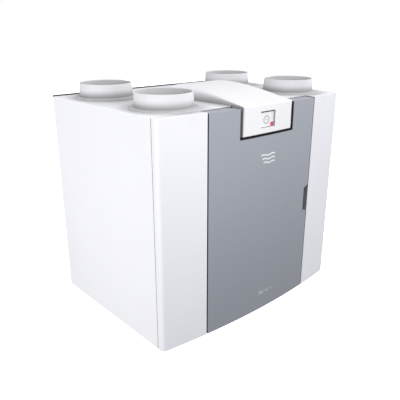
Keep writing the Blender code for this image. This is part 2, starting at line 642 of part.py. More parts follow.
def loft(name, stations, surface=None, smooth_deg=None):
    """Bridge closed outlines (x, z) at rising y into one solid."""
    shape = bmesh.new()
    rings = []
    for y, outline in stations:
        rings.append([shape.verts.new((x, y, z)) for x, z in outline])
    for first, second in zip(rings[:-1], rings[1:]):
        for i in range(len(first)):
            shape.faces.new((first[i - 1], first[i], second[i], second[i - 1]))
    shape.faces.new(rings[0])
    shape.faces.new(reversed(rings[-1]))
    return finish(name, shape, surface, smooth_deg)


def hood_loft(name, inset, surface=None):
    """The part of the hood above the casing top."""
    front = front_y(HOOD_HALF_WIDTH) + inset + HOOD_TOP_SETBACK
    stations = []
    for step in range(HOOD_STATIONS + 1):
        y = front + (HOOD_REAR_Y - inset - front) * step / HOOD_STATIONS
        stations.append((y, hood_section(y, inset)))
    return loft(name, stations, surface, 40)


def hood_front(name, inset, rear_y, surface=None):
    """The part of the hood that hangs in the door's cutout, with the bowed front."""
    half = HOOD_HALF_WIDTH - inset
    plan = [(half, rear_y, 0), (-half, rear_y, 0)]
    for step in range(HOOD_STEPS + 1):
        x = -half + 2 * half * step / HOOD_STEPS
        radius = max(HOOD_EDGE_R - inset, HOOD_EDGE_LEAST_R) if step in (0, HOOD_STEPS) else 0
        plan.append((x, front_y(x, inset), radius))
    top = hood_top(front_y(HOOD_HALF_WIDTH)) - inset
    return prism(name, rounded(plan), "Z", HOOD_BOTTOM + inset, top, surface, 30)


def build_hood(m):
    rear = DOOR_REAR_Y - GAP
    hood = hood_front("hood", 0, rear, m["white"])
    boolean(hood, hood_loft("add_hood_top", 0), "UNION")
    boolean(hood, hood_front("cut_hood_front", HOOD_WALL, rear + REACH))
    boolean(hood, hood_loft("cut_hood_top", HOOD_WALL))
    low_x = DISPLAY_X - DISPLAY_WIDTH / 2
    high_x = DISPLAY_X + DISPLAY_WIDTH / 2
    low_z = DISPLAY_Z - DISPLAY_HEIGHT / 2
    high_z = DISPLAY_Z + DISPLAY_HEIGHT / 2
    boolean(hood, box("cut_display", (low_x, FRONT_Y - REACH, low_z),
                      (high_x, FRONT_Y + DISPLAY_CUT, high_z)))
    edge = FRONT_Y + HOOD_WALL + BEZEL_BACK
    rear_edge = edge + BEZEL_DEPTH
    around_low = (low_x - BEZEL_BORDER, low_z - BEZEL_BORDER)
    around_high = (high_x + BEZEL_BORDER, high_z + BEZEL_BORDER)
    bezel = box("display_bezel", (around_low[0], edge, around_low[1]),
                (around_high[0], rear_edge, around_high[1]), m["white"])
    boolean(bezel, box("cut_bezel", (low_x, edge - REACH, low_z), (high_x, rear_edge + REACH, high_z)))
    face = FRONT_Y + DISPLAY_RECESS
    box("display_screen", (low_x + GAP, face, low_z + GAP),
        (high_x - GAP, face + SCREEN_THICK, high_z - GAP), m["screen"])
    box("display_board", (around_low[0], rear_edge + GAP, around_low[1]),
        (around_high[0], rear_edge + GAP + BOARD_THICK, around_high[1]), m["board"])
    build_controls(m)
    place = (GLAND_X, HOOD_REAR_Y, HOOD_FOOT + GLAND_RISE)
    boolean(hood, cylinder("cut_gland", place, GLAND_R + GAP, 2 * REACH, "Y"))
    gland = cylinder("mains_gland", place, GLAND_R, GLAND_LENGTH, "Y", m["grip"], 20)
    boolean(gland, cylinder("bore_gland", place, GLAND_R / 2, GLAND_LENGTH + REACH, "Y"))


def build_controls(m):
    """Tray under the hood with the control board lying in it."""
    half = CONTROL_HALF_WIDTH
    rear = HOOD_REAR_Y - CONTROL_REAR_GAP
    top = HOOD_FOOT + CONTROL_HEIGHT
    tray = box("control_tray", (-half, CONTROL_FRONT_Y, HOOD_FOOT), (half, rear, top), m["grip"])
    boolean(tray, box("cut_tray", (CONTROL_WALL - half, CONTROL_FRONT_Y + CONTROL_WALL,
                                   HOOD_FOOT + CONTROL_WALL),
                      (half - CONTROL_WALL, rear - CONTROL_WALL, top + REACH)))
    margin = CONTROL_WALL + CONTROL_BOARD_EDGE
    low = HOOD_FOOT + CONTROL_WALL + GAP
    box("control_board", (margin - half, CONTROL_FRONT_Y + margin, low),
        (half - margin, rear - margin, low + CONTROL_BOARD_THICK), m["board"])


# ---------------------------------------------------------------- insulation
def build_insulation(m):
    pedestal = TRAY_HALF_WIDTH + PEDESTAL_PAST
    side = FOAM_SIDE_X
    section = [(-side, FOAM_BOTTOM), (side, FOAM_BOTTOM), (side, FLOOR_TOP), (pedestal, FLOOR_TOP),
               (pedestal, TRAY_BOTTOM - GAP), (-pedestal, TRAY_BOTTOM - GAP),
               (-pedestal, FLOOR_TOP), (-side, FLOOR_TOP)]
    floor = prism("insulation_base", section, "Y", BAY_FRONT_Y, FOAM_BACK_Y - BASE_BACK_GAP,
                  m["epp"])
    boolean(floor, box("add_back_wall", (-side, FOAM_BACK_Y - FOAM_WALL, FOAM_BOTTOM),
                       (side, FOAM_BACK_Y, ROOF_BOTTOM - GAP)), "UNION")
    boolean(floor, cylinder("cut_floor_drain", (0, DRAIN_Y, TRAY_BOTTOM / 2), DRAIN_R + GAP,
                            TRAY_BOTTOM + REACH))
    roof = box("insulation_roof", (-side, FOAM_FRONT_Y, ROOF_BOTTOM), (side, FOAM_BACK_Y, FOAM_TOP),
               m["epp"])
    for tag, x, y in spigot_places():
        boolean(roof, cylinder("cut_roof_" + tag, (x, y, FOAM_TOP), PLATE_HOLE_R,
                               2 * (FOAM_ROOF + REACH), sides=32))
    for name, sign in SIDES.items():
        build_side_insulation(name, sign, m)
    build_core(m)
    front = box("insulation_front", (-CORE_HALF_WIDTH + GAP, FOAM_FRONT_Y, FOAM_BOTTOM),
                (CORE_HALF_WIDTH - GAP, FOAM_FRONT_Y + FACE_COVER, CORE_BOTTOM - GAP), m["epp"])
    boolean(front, prism("cut_access", access_outline(), "Y", FOAM_FRONT_Y - REACH,
                         BAY_FRONT_Y + REACH))


def build_side_insulation(name, sign, m):
    """Side wall, front wall, partition and rear duct wall in one moulding."""
    inner = CORE_HALF_WIDTH
    outer = FOAM_SIDE_X
    wall = outer - FOAM_WALL
    low = FLOOR_TOP + GAP
    high = ROOF_BOTTOM - GAP
    front = FOAM_FRONT_Y
    rear = FOAM_BACK_Y - FOAM_WALL - GAP
    duct = inner + DUCT_WALL
    first = PARTITION_Y
    second = PARTITION_Y + PARTITION
    plan = [(outer, front), (outer, rear), (inner, rear), (inner, first), (wall, first),
            (wall, BAY_FRONT_Y), (inner, BAY_FRONT_Y), (inner, front)]
    side = prism("insulation_" + name, mirrored(plan, sign), "Z", low, high, m["epp"])
    pocket = [(duct, second), (wall, second), (wall, rear + REACH), (duct, rear + REACH)]
    boolean(side, prism("cut_duct_" + name, mirrored(pocket, sign), "Z", low - REACH,
                        high + REACH))
    outlet = [(duct, first - REACH), (wall, first - REACH), (wall, second + REACH),
              (duct, second + REACH)]
    boolean(side, prism("cut_outlet_" + name, mirrored(outlet, sign), "Z", low - REACH,
                        FAN_Z + FAN_HEIGHT + GAP))


def build_core(m):
    """Foam block over the exchanger, with the bypass channel."""
    half = CORE_HALF_WIDTH - GAP
    flat = EXCHANGER_HALF_FLAT + CORE_FLAT_PAST
    section = [(-half, ROOF_BOTTOM - GAP), (-half, CORE_SLOPE_Z), (-flat, CORE_BOTTOM),
               (flat, CORE_BOTTOM), (half, CORE_SLOPE_Z), (half, ROOF_BOTTOM - GAP)]
    core = prism("insulation_core", section, "Y", FOAM_FRONT_Y, BAY_BACK_Y, m["epp"])
    low_y = BYPASS_Y - BYPASS_LENGTH / 2
    high_y = BYPASS_Y + BYPASS_LENGTH / 2
    boolean(core, box("cut_bypass", (-WIDTH, low_y, BYPASS_Z - BYPASS_HALF),
                      (WIDTH, high_y, BYPASS_Z + BYPASS_HALF)))
    pocket_y = low_y - CORE_COVER
    start = pocket_y - SHAFT_FRONT_GAP
    end = high_y + SHAFT_PAST
    middle = (0, (start + end) / 2, BYPASS_Z)
    boolean(core, cylinder("cut_shaft", middle, SHAFT_R + GAP, end - start + 2 * GAP, "Y"))
    pocket = ACTUATOR_HALF + ACTUATOR_CLEAR
    boolean(core, box("cut_actuator", (-pocket, FOAM_FRONT_Y - REACH, BYPASS_Z - pocket),
                      (pocket, pocket_y, BYPASS_Z + pocket)))
    actuator_y = pocket_y - ACTUATOR_BACK_GAP
    box("bypass_actuator", (-ACTUATOR_HALF, actuator_y - ACTUATOR_DEPTH, BYPASS_Z - ACTUATOR_HALF),
        (ACTUATOR_HALF, actuator_y, BYPASS_Z + ACTUATOR_HALF), m["grip"])
    reach = BYPASS_HALF - FLAP_CLEAR
    flap = box("bypass_flap", (-FLAP_HALF_THICK, low_y + FLAP_CLEAR, BYPASS_Z - reach),
               (FLAP_HALF_THICK, high_y - FLAP_CLEAR, BYPASS_Z + reach), m["grip"])
    shaft = cylinder("add_shaft", middle, SHAFT_R, end - start, "Y", sides=16)
    boolean(flap, shaft, "UNION")
    ride([flap], pivot("bypass_pivot", (0, BYPASS_Y, BYPASS_Z)))


# ---------------------------------------------------------------- exchanger, filters and drain
def slope():
    """Unit vectors along the exchanger's upper right face, and out from it."""
    along = Vector((EXCHANGER_HALF_WIDTH - EXCHANGER_HALF_FLAT, -EXCHANGER_HALF_HEIGHT)).normalized()
    return along, Vector((-along.y, along.x))


def filter_outline(grow=0.0):
    """The right filter's section (x, z), lying on the exchanger's upper face."""
    along, out = slope()
    top = Vector((EXCHANGER_HALF_FLAT, EXCHANGER_TOP)) + along * (FILTER_END - grow)
    low = Vector((EXCHANGER_HALF_WIDTH, EXCHANGER_Z)) - along * (FILTER_END - grow)
    near = out * (FILTER_OFF - grow)
    far = out * (FILTER_OFF + FILTER_THICK + grow)
    return [tuple(low + near), tuple(low + far), tuple(top + far), tuple(top + near)]


def exchanger_outline(grow=0.0):
    """Hexagon (x, z) with flat top and bottom."""
    half = EXCHANGER_HALF_WIDTH + grow
    flat = EXCHANGER_HALF_FLAT + grow / 2
    rise = EXCHANGER_HALF_HEIGHT + grow
    z = EXCHANGER_Z
    return [(half, z), (flat, z + rise), (-flat, z + rise), (-half, z), (-flat, z - rise),
            (flat, z - rise)]


def access_outline():
    """Front opening that lets the exchanger and both filters slide out."""
    low_far, top_far = filter_outline(SLIDE_GAP)[1:3]
    hexagon = exchanger_outline(SLIDE_GAP)
    right = [hexagon[5], hexagon[0], low_far, top_far, (top_far[0], CORE_BOTTOM + REACH)]
    left = [(-x, z) for x, z in reversed(right)]
    return right + left


def build_exchanger(m):
    rear = BAY_BACK_Y - GAP
    prism("heat_exchanger", exchanger_outline(), "Y", BAY_FRONT_Y, rear, m["exchanger"])
    cover = prism("exchanger_cover", exchanger_outline(-SLIDE_GAP), "Y", FOAM_FRONT_Y,
                  BAY_FRONT_Y - GAP, m["epp"])
    boolean(cover, box("add_strap", (-STRAP_HALF_WIDTH, FOAM_FRONT_Y - STRAP_RISE,
                                     EXCHANGER_Z - STRAP_HALF_HEIGHT),
                       (STRAP_HALF_WIDTH, FOAM_FRONT_Y + STRAP_SINK,
                        EXCHANGER_Z + STRAP_HALF_HEIGHT)), "UNION")
    for name, sign in SIDES.items():
        prism("filter_" + name, mirrored(filter_outline(), sign), "Y", BAY_FRONT_Y, rear, m["filter"])
        cap = prism("filter_cap_" + name, mirrored(filter_outline(), sign), "Y", FOAM_FRONT_Y,
                    BAY_FRONT_Y - GAP, m["grip"])
        along, out = slope()
        middle = (Vector((EXCHANGER_HALF_FLAT, EXCHANGER_TOP)) +
                  Vector((EXCHANGER_HALF_WIDTH, EXCHANGER_Z))) / 2 + out * (FILTER_OFF + FILTER_THICK / 2)
        tab = [middle + along * (a * TAB_HALF_LENGTH) + out * (b * TAB_HALF_THICK)
               for a, b in ((-1, -1), (1, -1), (1, 1), (-1, 1))]
        boolean(cap, prism("add_tab_" + name, mirrored([tuple(p) for p in tab], sign), "Y",
                           DOOR_REAR_Y + GAP, FOAM_FRONT_Y + TAB_SINK), "UNION")


def build_drain(m):
    rear = BAY_BACK_Y - GAP
    tray = box("condensate_tray", (-TRAY_HALF_WIDTH, BAY_FRONT_Y, TRAY_BOTTOM),
               (TRAY_HALF_WIDTH, rear, TRAY_TOP), m["plastic"])
    boolean(tray, box("cut_basin", (-TRAY_HALF_WIDTH + TRAY_WALL, BAY_FRONT_Y + TRAY_END,
                                    TRAY_BOTTOM + TRAY_WALL),
                      (TRAY_HALF_WIDTH - TRAY_WALL, rear - TRAY_END, TRAY_TOP + REACH)))
    boolean(tray, cylinder("cut_tray_drain", (0, DRAIN_Y, TRAY_BOTTOM), DRAIN_BORE_R, 2 * REACH))
    profile = [(DRAIN_BORE_R, DRAIN_LOW), (DRAIN_R, DRAIN_LOW), (DRAIN_R, TRAY_BOTTOM - GAP),
               (DRAIN_BORE_R, TRAY_BOTTOM - GAP)]
    turned("drain_pipe", profile, (0, DRAIN_Y, 0), m["plastic"], sides=24)


# ---------------------------------------------------------------- fans
def scroll_outline(inset, sign):
    """Plan of a fan scroll: a spiral that grows clockwise and leaves through a straight outlet."""
    points = []
    steps = 22
    sweep = SCROLL_CUTOFF_DEG + 180
    for step in range(steps + 1):
        share = step / steps
        turn = math.radians(SCROLL_CUTOFF_DEG - sweep * share)
        radius = SCROLL_START_R + (SCROLL_END_R - SCROLL_START_R) * share - inset
        points.append((-FAN_X + radius * math.cos(turn), FAN_Y + radius * math.sin(turn)))
    mouth = PARTITION_Y + PARTITION + (REACH if inset else 0.0)
    points.append((points[-1][0], mouth))
    points.append((points[0][0] - inset, mouth))
    return mirrored(points, -sign)


def build_fan(name, sign, m):
    x = sign * FAN_X
    top = FAN_Z + FAN_HEIGHT
    scroll = prism("fan_housing_" + name, scroll_outline(0, sign), "Z", FAN_Z, top, m["plastic"], 30)
    boolean(scroll, prism("cut_scroll_" + name, scroll_outline(FAN_WALL, sign), "Z",
                          FAN_Z + FAN_WALL, top - FAN_WALL))
    boolean(scroll, cylinder("cut_inlet_" + name, (x, FAN_Y, top), INLET_R, 2 * REACH,
                             sides=32))
    boolean(scroll, cylinder("cut_motor_" + name, (x, FAN_Y, FAN_Z), MOTOR_R + GAP,
                             2 * REACH, sides=28))
    motor_top = FAN_Z + MOTOR_RISE
    flange_z = FAN_Z - MOTOR_FLANGE_GAP - MOTOR_FLANGE / 2
    motor = cylinder("fan_motor_" + name, (x, FAN_Y, (FLOOR_TOP + GAP + motor_top) / 2), MOTOR_R,
                     motor_top - FLOOR_TOP - GAP, "Z", m["metal"], 28)
    boolean(motor, cylinder("add_flange_" + name, (x, FAN_Y, flange_z), MOTOR_FLANGE_R,
                            MOTOR_FLANGE, sides=28), "UNION")
    axle_z = motor_top + AXLE_LENGTH / 2 - AXLE_SINK
    boolean(motor, cylinder("add_axle_" + name, (x, FAN_Y, axle_z), SHAFT_R, AXLE_LENGTH,
                            sides=12), "UNION")
    impeller = build_impeller(name, x, motor_top + IMPELLER_OVER, m)
    ride([impeller], pivot("fan_pivot_" + name, (x, FAN_Y, motor_top)))


def build_impeller(name, x, low, m):
    """Back plate and hub, shroud ring and backward-curved blades."""
    plate = IMPELLER_PLATE
    high = low + IMPELLER_HEIGHT
    hub = [(SHAFT_R + GAP, low), (IMPELLER_R, low), (IMPELLER_R, low + plate), (HUB_R, low + plate),
           (HUB_R, low + HUB_HEIGHT), (SHAFT_R + GAP, low + HUB_HEIGHT)]
    impeller = turned("impeller_" + name, hub, (x, FAN_Y, 0), m["impeller"], sides=32)
    length = IMPELLER_R - BLADE_END_IN - BLADE_INNER_R
    outline = []
    for edge, order in ((0.0, 1), (BLADE_THICK, -1)):
        side = []
        for step in range(BLADE_STEPS + 1):
            share = step / BLADE_STEPS
            radius = BLADE_INNER_R + length * share
            turn = edge / radius - BLADE_SWEEP * share
            side.append((radius * math.cos(turn), radius * math.sin(turn)))
        outline += side[::order]
    for blade in range(BLADES):
        spin = Matrix.Rotation(2 * math.pi * blade / BLADES, 2)
        turned_outline = [spin @ Vector(point) for point in outline]
        placed = [(x + point.x, FAN_Y + point.y) for point in turned_outline]
        boolean(impeller, prism("add_blade_%s_%d" % (name, blade), placed, "Z", low + plate / 2,
                                high - plate / 2), "UNION")
    shroud = [(INLET_R - SHROUD_LAP, high - plate), (IMPELLER_R, high - plate),
              (IMPELLER_R, high), (INLET_R - SHROUD_LAP, high)]
    boolean(impeller, turned("add_shroud_" + name, shroud, (x, FAN_Y, 0), sides=32), "UNION")
    return impeller


def build_sensors(m):
    for name, sign in SIDES.items():
        place = (sign * (HALF_WIDTH - SENSOR_IN), PARTITION_Y - SENSOR_FORWARD,
                 ROOF_BOTTOM - GAP - SENSOR_LENGTH / 2)
        cylinder("air_sensor_" + name, place, SENSOR_R, SENSOR_LENGTH, "Z", m["metal"], 12)


def main():
    for old in list(bpy.data.objects):
        bpy.data.objects.remove(old)
    surfaces = {
        "white": material("white_enamel", (0.86, 0.86, 0.88), 0.35),
        "spigot": material("spigot_plastic", (0.84, 0.84, 0.86), 0.45),
        "door": material("grey_door", (0.36, 0.38, 0.42), 0.4),
        "grip": material("dark_plastic", (0.07, 0.07, 0.08), 0.5),
        "rubber": material("black_rubber", (0.03, 0.03, 0.03), 0.7),
        "foam_seal": material("seal_foam", (0.45, 0.45, 0.46), 0.9),
        "galvanised": material("galvanised_steel", (0.55, 0.56, 0.58), 0.4, 0.9),
        "steel": material("bright_steel", (0.6, 0.6, 0.62), 0.3, 1.0),
        "metal": material("cast_metal", (0.45, 0.45, 0.47), 0.4, 0.9),
        "epp": material("moulded_foam", (0.06, 0.06, 0.065), 0.9),
        "exchanger": material("exchanger_plastic", (0.55, 0.65, 0.72), 0.4),
        "filter": material("filter_media", (0.85, 0.85, 0.80), 0.95),
        "plastic": material("grey_plastic", (0.25, 0.25, 0.27), 0.5),
        "impeller": material("impeller_plastic", (0.10, 0.10, 0.11), 0.4),
        "board": material("circuit_board", (0.02, 0.18, 0.07), 0.5),
        "screen": material("display_glass", (0.80, 0.82, 0.84), 0.15),
    }
    build_casing(surfaces)
    build_front_frame(surfaces)
    build_columns(surfaces)
    build_spigots(surfaces)
    build_door(surfaces)
    build_magnets(surfaces)
    build_hood(surfaces)
    build_insulation(surfaces)
    build_exchanger(surfaces)
    build_drain(surfaces)
    for name, sign in SIDES.items():
        build_fan(name, sign, surfaces)
    build_sensors(surfaces)


main()
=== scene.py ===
# %% [markdown]
# # A heat recovery ventilation unit
# A white steel casing stands as a block with a bowed front. Two white columns flank a grey filter
# door, a white hood with a small display bridges the top edge, and four round spigots on top take
# the air ducts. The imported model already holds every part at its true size, so it is loaded first
# and stays where it is. The pieces made below replace its plainer nodes or dress them.

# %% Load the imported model
import math

import bmesh
import bpy
from mathutils import Matrix, Vector


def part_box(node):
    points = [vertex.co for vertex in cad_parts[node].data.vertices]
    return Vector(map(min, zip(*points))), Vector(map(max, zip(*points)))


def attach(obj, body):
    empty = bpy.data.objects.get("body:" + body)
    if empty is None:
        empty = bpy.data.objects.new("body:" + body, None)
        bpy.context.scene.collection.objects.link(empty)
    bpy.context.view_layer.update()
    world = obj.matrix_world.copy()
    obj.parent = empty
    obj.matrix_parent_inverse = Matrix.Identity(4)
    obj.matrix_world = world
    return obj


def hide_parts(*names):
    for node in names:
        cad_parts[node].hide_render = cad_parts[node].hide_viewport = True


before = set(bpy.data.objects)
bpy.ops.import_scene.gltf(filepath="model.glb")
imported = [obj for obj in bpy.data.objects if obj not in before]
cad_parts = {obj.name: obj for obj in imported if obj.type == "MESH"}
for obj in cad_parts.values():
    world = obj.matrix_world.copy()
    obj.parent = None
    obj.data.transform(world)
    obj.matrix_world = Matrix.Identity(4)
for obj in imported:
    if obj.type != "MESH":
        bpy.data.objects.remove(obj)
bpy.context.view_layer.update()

# %% [markdown]
# ## Nodes
# The surrounding light, the materials and the groups they share are all small trees of nodes. Three
# functions add a node, wire it and read off its result, so that a tree reads as what it works out.


# %% Node helpers
def add(tree, kind, settings=(), **sockets):
    """A node with its settings, and values or links on its named input sockets."""
    made = tree.nodes.new("ShaderNode" + kind)
    for title, value in dict(settings).items():
        setattr(made, title, value)
    for title, value in sockets.items():
        by_number = title[1:].isdigit()
        socket = made.inputs[int(title[1:]) if by_number else title.replace("_", " ")]
        if isinstance(value, bpy.types.NodeSocket):
            tree.links.new(value, socket)
        else:
            socket.default_value = value
    return made


def reckon(tree, operation, *values):
    """What a Math node makes of its values."""
    wired = {"i%d" % index: value for index, value in enumerate(values)}
    return add(tree, "Math", {"operation": operation}, **wired).outputs[0]


def tinted(tree, colour, factor):
    """A colour made lighter or darker by a factor."""
    return add(tree, "VectorMath", {"operation": "SCALE"}, i0=colour, Scale=factor).outputs[0]


# %% [markdown]
# ## Camera, light and floor
# A product shot like this one is taken in a white room: a broad pale light all round, more of it
# from above than from below, and large soft boxes whose mirror images make the long highlights on
# the enamel. A world that is bright at the top and dimmer towards the ground does most of that
# work. Only camera rays see it as plain white, through the Light Path node.

# %% Camera
VIEW_FROM = (-1.0677, -1.1814, 0.8622)
VIEW_TILT = 70.47
VIEW_TURN = -41.82
VIEW_LENS = 44.33

view_camera = bpy.data.objects.new("view_camera", bpy.data.cameras.new("view_camera"))
bpy.context.scene.collection.objects.link(view_camera)
view_camera.location = VIEW_FROM
view_camera.rotation_euler = (math.radians(VIEW_TILT), 0.0, math.radians(VIEW_TURN))
view_camera.data.lens = VIEW_LENS
bpy.context.scene.camera = view_camera
bpy.context.scene.view_settings.view_transform = "Standard"

# %% Surrounding light
SKY_TOP = (1.0, 1.0, 1.02, 1.0)
SKY_GROUND = (0.29, 0.30, 0.32, 1.0)
SKY_STRENGTH = 0.90
GROUND_BELOW = -0.6
TOP_ABOVE = 0.7
WHITE = (1.0, 1.0, 1.0, 1.0)

world = bpy.data.worlds.new("white_room")
bpy.context.scene.world = world
world.use_nodes = True
sky = world.node_tree
sky.nodes.clear()
way = add(sky, "SeparateXYZ", Vector=add(sky, "TexCoord").outputs["Generated"])
height = add(sky, "MapRange", Value=way.outputs["Z"], From_Min=GROUND_BELOW, From_Max=TOP_ABOVE)
fade = add(sky, "Mix", {"data_type": "RGBA"}, Factor=height.outputs["Result"], A=SKY_GROUND, B=SKY_TOP)
room = add(sky, "Background", Color=fade.outputs["Result"], Strength=SKY_STRENGTH)
plain_white = add(sky, "Background", Color=WHITE)
seen_or_lit = add(sky, "MixShader", i0=add(sky, "LightPath").outputs["Is Camera Ray"],
                  i1=room.outputs["Background"], i2=plain_white.outputs["Background"])
add(sky, "OutputWorld", Surface=seen_or_lit.outputs["Shader"])


# %% Soft boxes
def soft_box(name, place, aim, size, power):
    """A square area light at a place, turned towards a point."""
    lamp = bpy.data.lights.new(name, "AREA")
    lamp.shape = "SQUARE"
    lamp.size = size
    lamp.energy = power
    made = bpy.data.objects.new(name, lamp)
    made.location = place
    made.rotation_euler = (Vector(aim) - Vector(place)).to_track_quat("-Z", "Y").to_euler()
    bpy.context.scene.collection.objects.link(made)


soft_box("box_left", (-1.7, 0.02, 0.42), (-0.3, 0.0, 0.33), 1.0, 11.4)
soft_box("box_front", (-0.1, -1.3, 1.35), (0.0, -0.25, 0.55), 0.7, 3.7)
soft_box("box_close", (-0.45, -1.0, 0.80), (0.0, -0.27, 0.5), 0.35, 2.3)
soft_box("box_right", (2.0, -0.8, 1.2), (0.2, -0.2, 0.3), 1.2, 18.0)
print("camera and lights are set")

# %% [markdown]
# ### Floor
# The floor is a plain pale sheet, so evenly lit that no shadow shows on it. A little glow of its
# own does that. It stays out of reflections and bounced light, because the surrounding light
# already holds the ground's share.

# %% Floor
FLOOR_SIZE = 12.0
FLOOR_Z = -0.0005

bpy.ops.mesh.primitive_plane_add(size=FLOOR_SIZE, location=(0.0, 0.0, FLOOR_Z))
floor = bpy.context.object
floor.name = "pale_floor"
floor.visible_diffuse = False
floor.visible_glossy = False
floor_paint = bpy.data.materials.new("pale_floor")
floor_paint.use_nodes = True
floor_body = floor_paint.node_tree.nodes["Principled BSDF"]
for title, value in (("Base Color", (0.9, 0.9, 0.9, 1.0)), ("Roughness", 0.9), ("Emission Color", WHITE),
                     ("Emission Strength", 1.0)):
    floor_body.inputs[title].default_value = value
floor.data.materials.append(floor_paint)

# %% [markdown]
# ## Tools of the trade
# The same few moves make nearly every piece: draw an outline point by point, fill it and pull it
# into a slab, spin a profile, cut one solid with another and round the edges. Each is a small
# function here, so that the pieces below read as a list of what a modeller would do by hand.
# Operators act on all that is selected, so everything is deselected before each one.


# %% Selecting
def pick(*pieces):
    """Object mode, with only these pieces selected and the first one active."""
    if bpy.context.mode != "OBJECT":
        bpy.ops.object.mode_set(mode="OBJECT")
    bpy.ops.object.select_all(action="DESELECT")
    for piece in pieces:
        piece.select_set(True)
    bpy.context.view_layer.objects.active = pieces[0] if pieces else None


def choose(kind, test):
    """In edit mode, select what passes a test of its middle and its normal or direction."""
    bpy.ops.mesh.select_mode(type=kind)
    bpy.ops.mesh.select_all(action="DESELECT")
    shape = bmesh.from_edit_mesh(bpy.context.object.data)
    found = 0
    for item in {"VERT": shape.verts, "EDGE": shape.edges, "FACE": shape.faces}[kind]:
        if kind == "VERT":
            middle, way = item.co, item.normal
        elif kind == "EDGE":
            ends = [corner.co for corner in item.verts]
            middle, way = (ends[0] + ends[1]) / 2, (ends[1] - ends[0]).normalized()
        else:
            middle, way = item.calc_center_median(), item.normal
        if test(middle, way):
            item.select_set(True)
            found += 1
    bmesh.update_edit_mesh(bpy.context.object.data)
    return found


def settle(name):
    """Leave edit mode, name the piece and move its place into its mesh."""
    made = bpy.context.object
    pick(made)
    made.name = name
    made.data.name = name
    bpy.ops.object.transform_apply(location=True, rotation=True, scale=True)
    return made


# %% Outlines, slabs and spins
MERGE = 0.000005


def chain(points):
    """One vertex, extruded from point to point into a wire. It is left open in edit mode."""
    pick()
    bpy.ops.mesh.primitive_plane_add(size=0.001, location=points[0])
    bpy.ops.object.mode_set(mode="EDIT")
    bpy.ops.mesh.select_mode(type="VERT")
    bpy.ops.mesh.select_all(action="SELECT")
    bpy.ops.mesh.merge(type="CENTER")
    for here, there in zip(points, points[1:]):
        step = Vector(there) - Vector(here)
        bpy.ops.mesh.extrude_region_move(TRANSFORM_OT_translate={"value": step})


def outwards():
    """In edit mode, merge doubles and point all the faces out."""
    bpy.ops.mesh.select_all(action="SELECT")
    bpy.ops.mesh.remove_doubles(threshold=MERGE)
    bpy.ops.mesh.normals_make_consistent(inside=False)


def slab(name, outline, axis, low, high):
    """An outline filled and extruded along an axis: (x, y) along Z, (x, z) along Y, (y, z) along X."""
    put = {"X": lambda a, b: (low, a, b), "Y": lambda a, b: (a, low, b), "Z": lambda a, b: (a, b, low)}
    chain([put[axis](a, b) for a, b in outline])
    bpy.ops.mesh.select_all(action="SELECT")
    bpy.ops.mesh.edge_face_add()
    pull = Vector([(high - low) if letter == axis else 0.0 for letter in "XYZ"])
    bpy.ops.mesh.extrude_region_move(TRANSFORM_OT_translate={"value": pull})
    outwards()
    return settle(name)


def block(name, low, high):
    """A box between two corners, as a cutter or a start."""
    pick()
    low, high = Vector(low), Vector(high)
    bpy.ops.mesh.primitive_cube_add(size=1.0, location=(low + high) / 2)
    bpy.context.object.scale = high - low
    return settle(name)


def drum(name, centre, radius, length, axis="Z", sides=48):
    """A round bar, as a cutter or a start."""
    turn = {"X": (0.0, math.pi / 2, 0.0), "Y": (math.pi / 2, 0.0, 0.0), "Z": (0.0, 0.0, 0.0)}[axis]
    pick()
    bpy.ops.mesh.primitive_cylinder_add(vertices=sides, radius=radius, depth=length,
                                        location=centre, rotation=turn)
    return settle(name)


def lathe(name, profile, centre, steps=96):
    """A closed (radius, height) profile spun round a vertical axis at a centre."""
    ring = [(centre[0] + radius, centre[1], centre[2] + up) for radius, up in profile]
    chain(ring + [ring[0]])
    bpy.ops.mesh.select_all(action="SELECT")
    bpy.ops.mesh.remove_doubles(threshold=MERGE)
    bpy.ops.mesh.select_all(action="SELECT")
    bpy.ops.mesh.spin(steps=steps, angle=2 * math.pi, center=centre, axis=(0, 0, 1))
    outwards()
    return settle(name)


def carve(target, tool, operation="DIFFERENCE"):
    """Cut, join or keep the overlap of one piece with another, which is used up."""
    pick(target)
    change = target.modifiers.new("carve", "BOOLEAN")
    change.operation = operation
    change.solver = "EXACT"
    change.object = tool
    bpy.ops.object.modifier_apply(modifier=change.name)
    bpy.data.objects.remove(tool)
    return target


def repaint(piece, index, test):
    """Put the faces that pass a test into another material slot."""
    pick(piece)
    bpy.ops.object.mode_set(mode="EDIT")
    choose("FACE", test)
    piece.active_material_index = index
    bpy.ops.object.material_slot_assign()
    bpy.ops.object.mode_set(mode="OBJECT")


# %% Rounding and smoothing
FLAT_ANGLE = 0.05


def tidy(piece):
    """Merge doubles and dissolve the seams that a cut leaves in flat faces."""
    pick(piece)
    bpy.ops.object.mode_set(mode="EDIT")
    bpy.ops.mesh.select_all(action="SELECT")
    bpy.ops.mesh.remove_doubles(threshold=MERGE)
    bpy.ops.mesh.dissolve_limited(angle_limit=math.radians(FLAT_ANGLE))
    bpy.ops.object.mode_set(mode="OBJECT")
    return piece


def smooth(piece, degrees=35):
    """Shade smooth, but for the edges sharper than an angle."""
    pick(piece)
    bpy.ops.object.shade_smooth_by_angle(angle=math.radians(degrees))
    weigh = piece.modifiers.new("weigh", "WEIGHTED_NORMAL")
    weigh.keep_sharp = True
    bpy.ops.object.modifier_apply(modifier=weigh.name)
    return piece


def soften(piece, width, segments=2, over=50):
    """Round every edge sharper than an angle."""
    pick(piece)
    change = piece.modifiers.new("soften", "BEVEL")
    change.width = width
    change.segments = segments
    change.limit_method = "ANGLE"
    change.angle_limit = math.radians(over)
    change.miter_outer = "MITER_ARC"
    bpy.ops.object.modifier_apply(modifier=change.name)
    return smooth(piece)


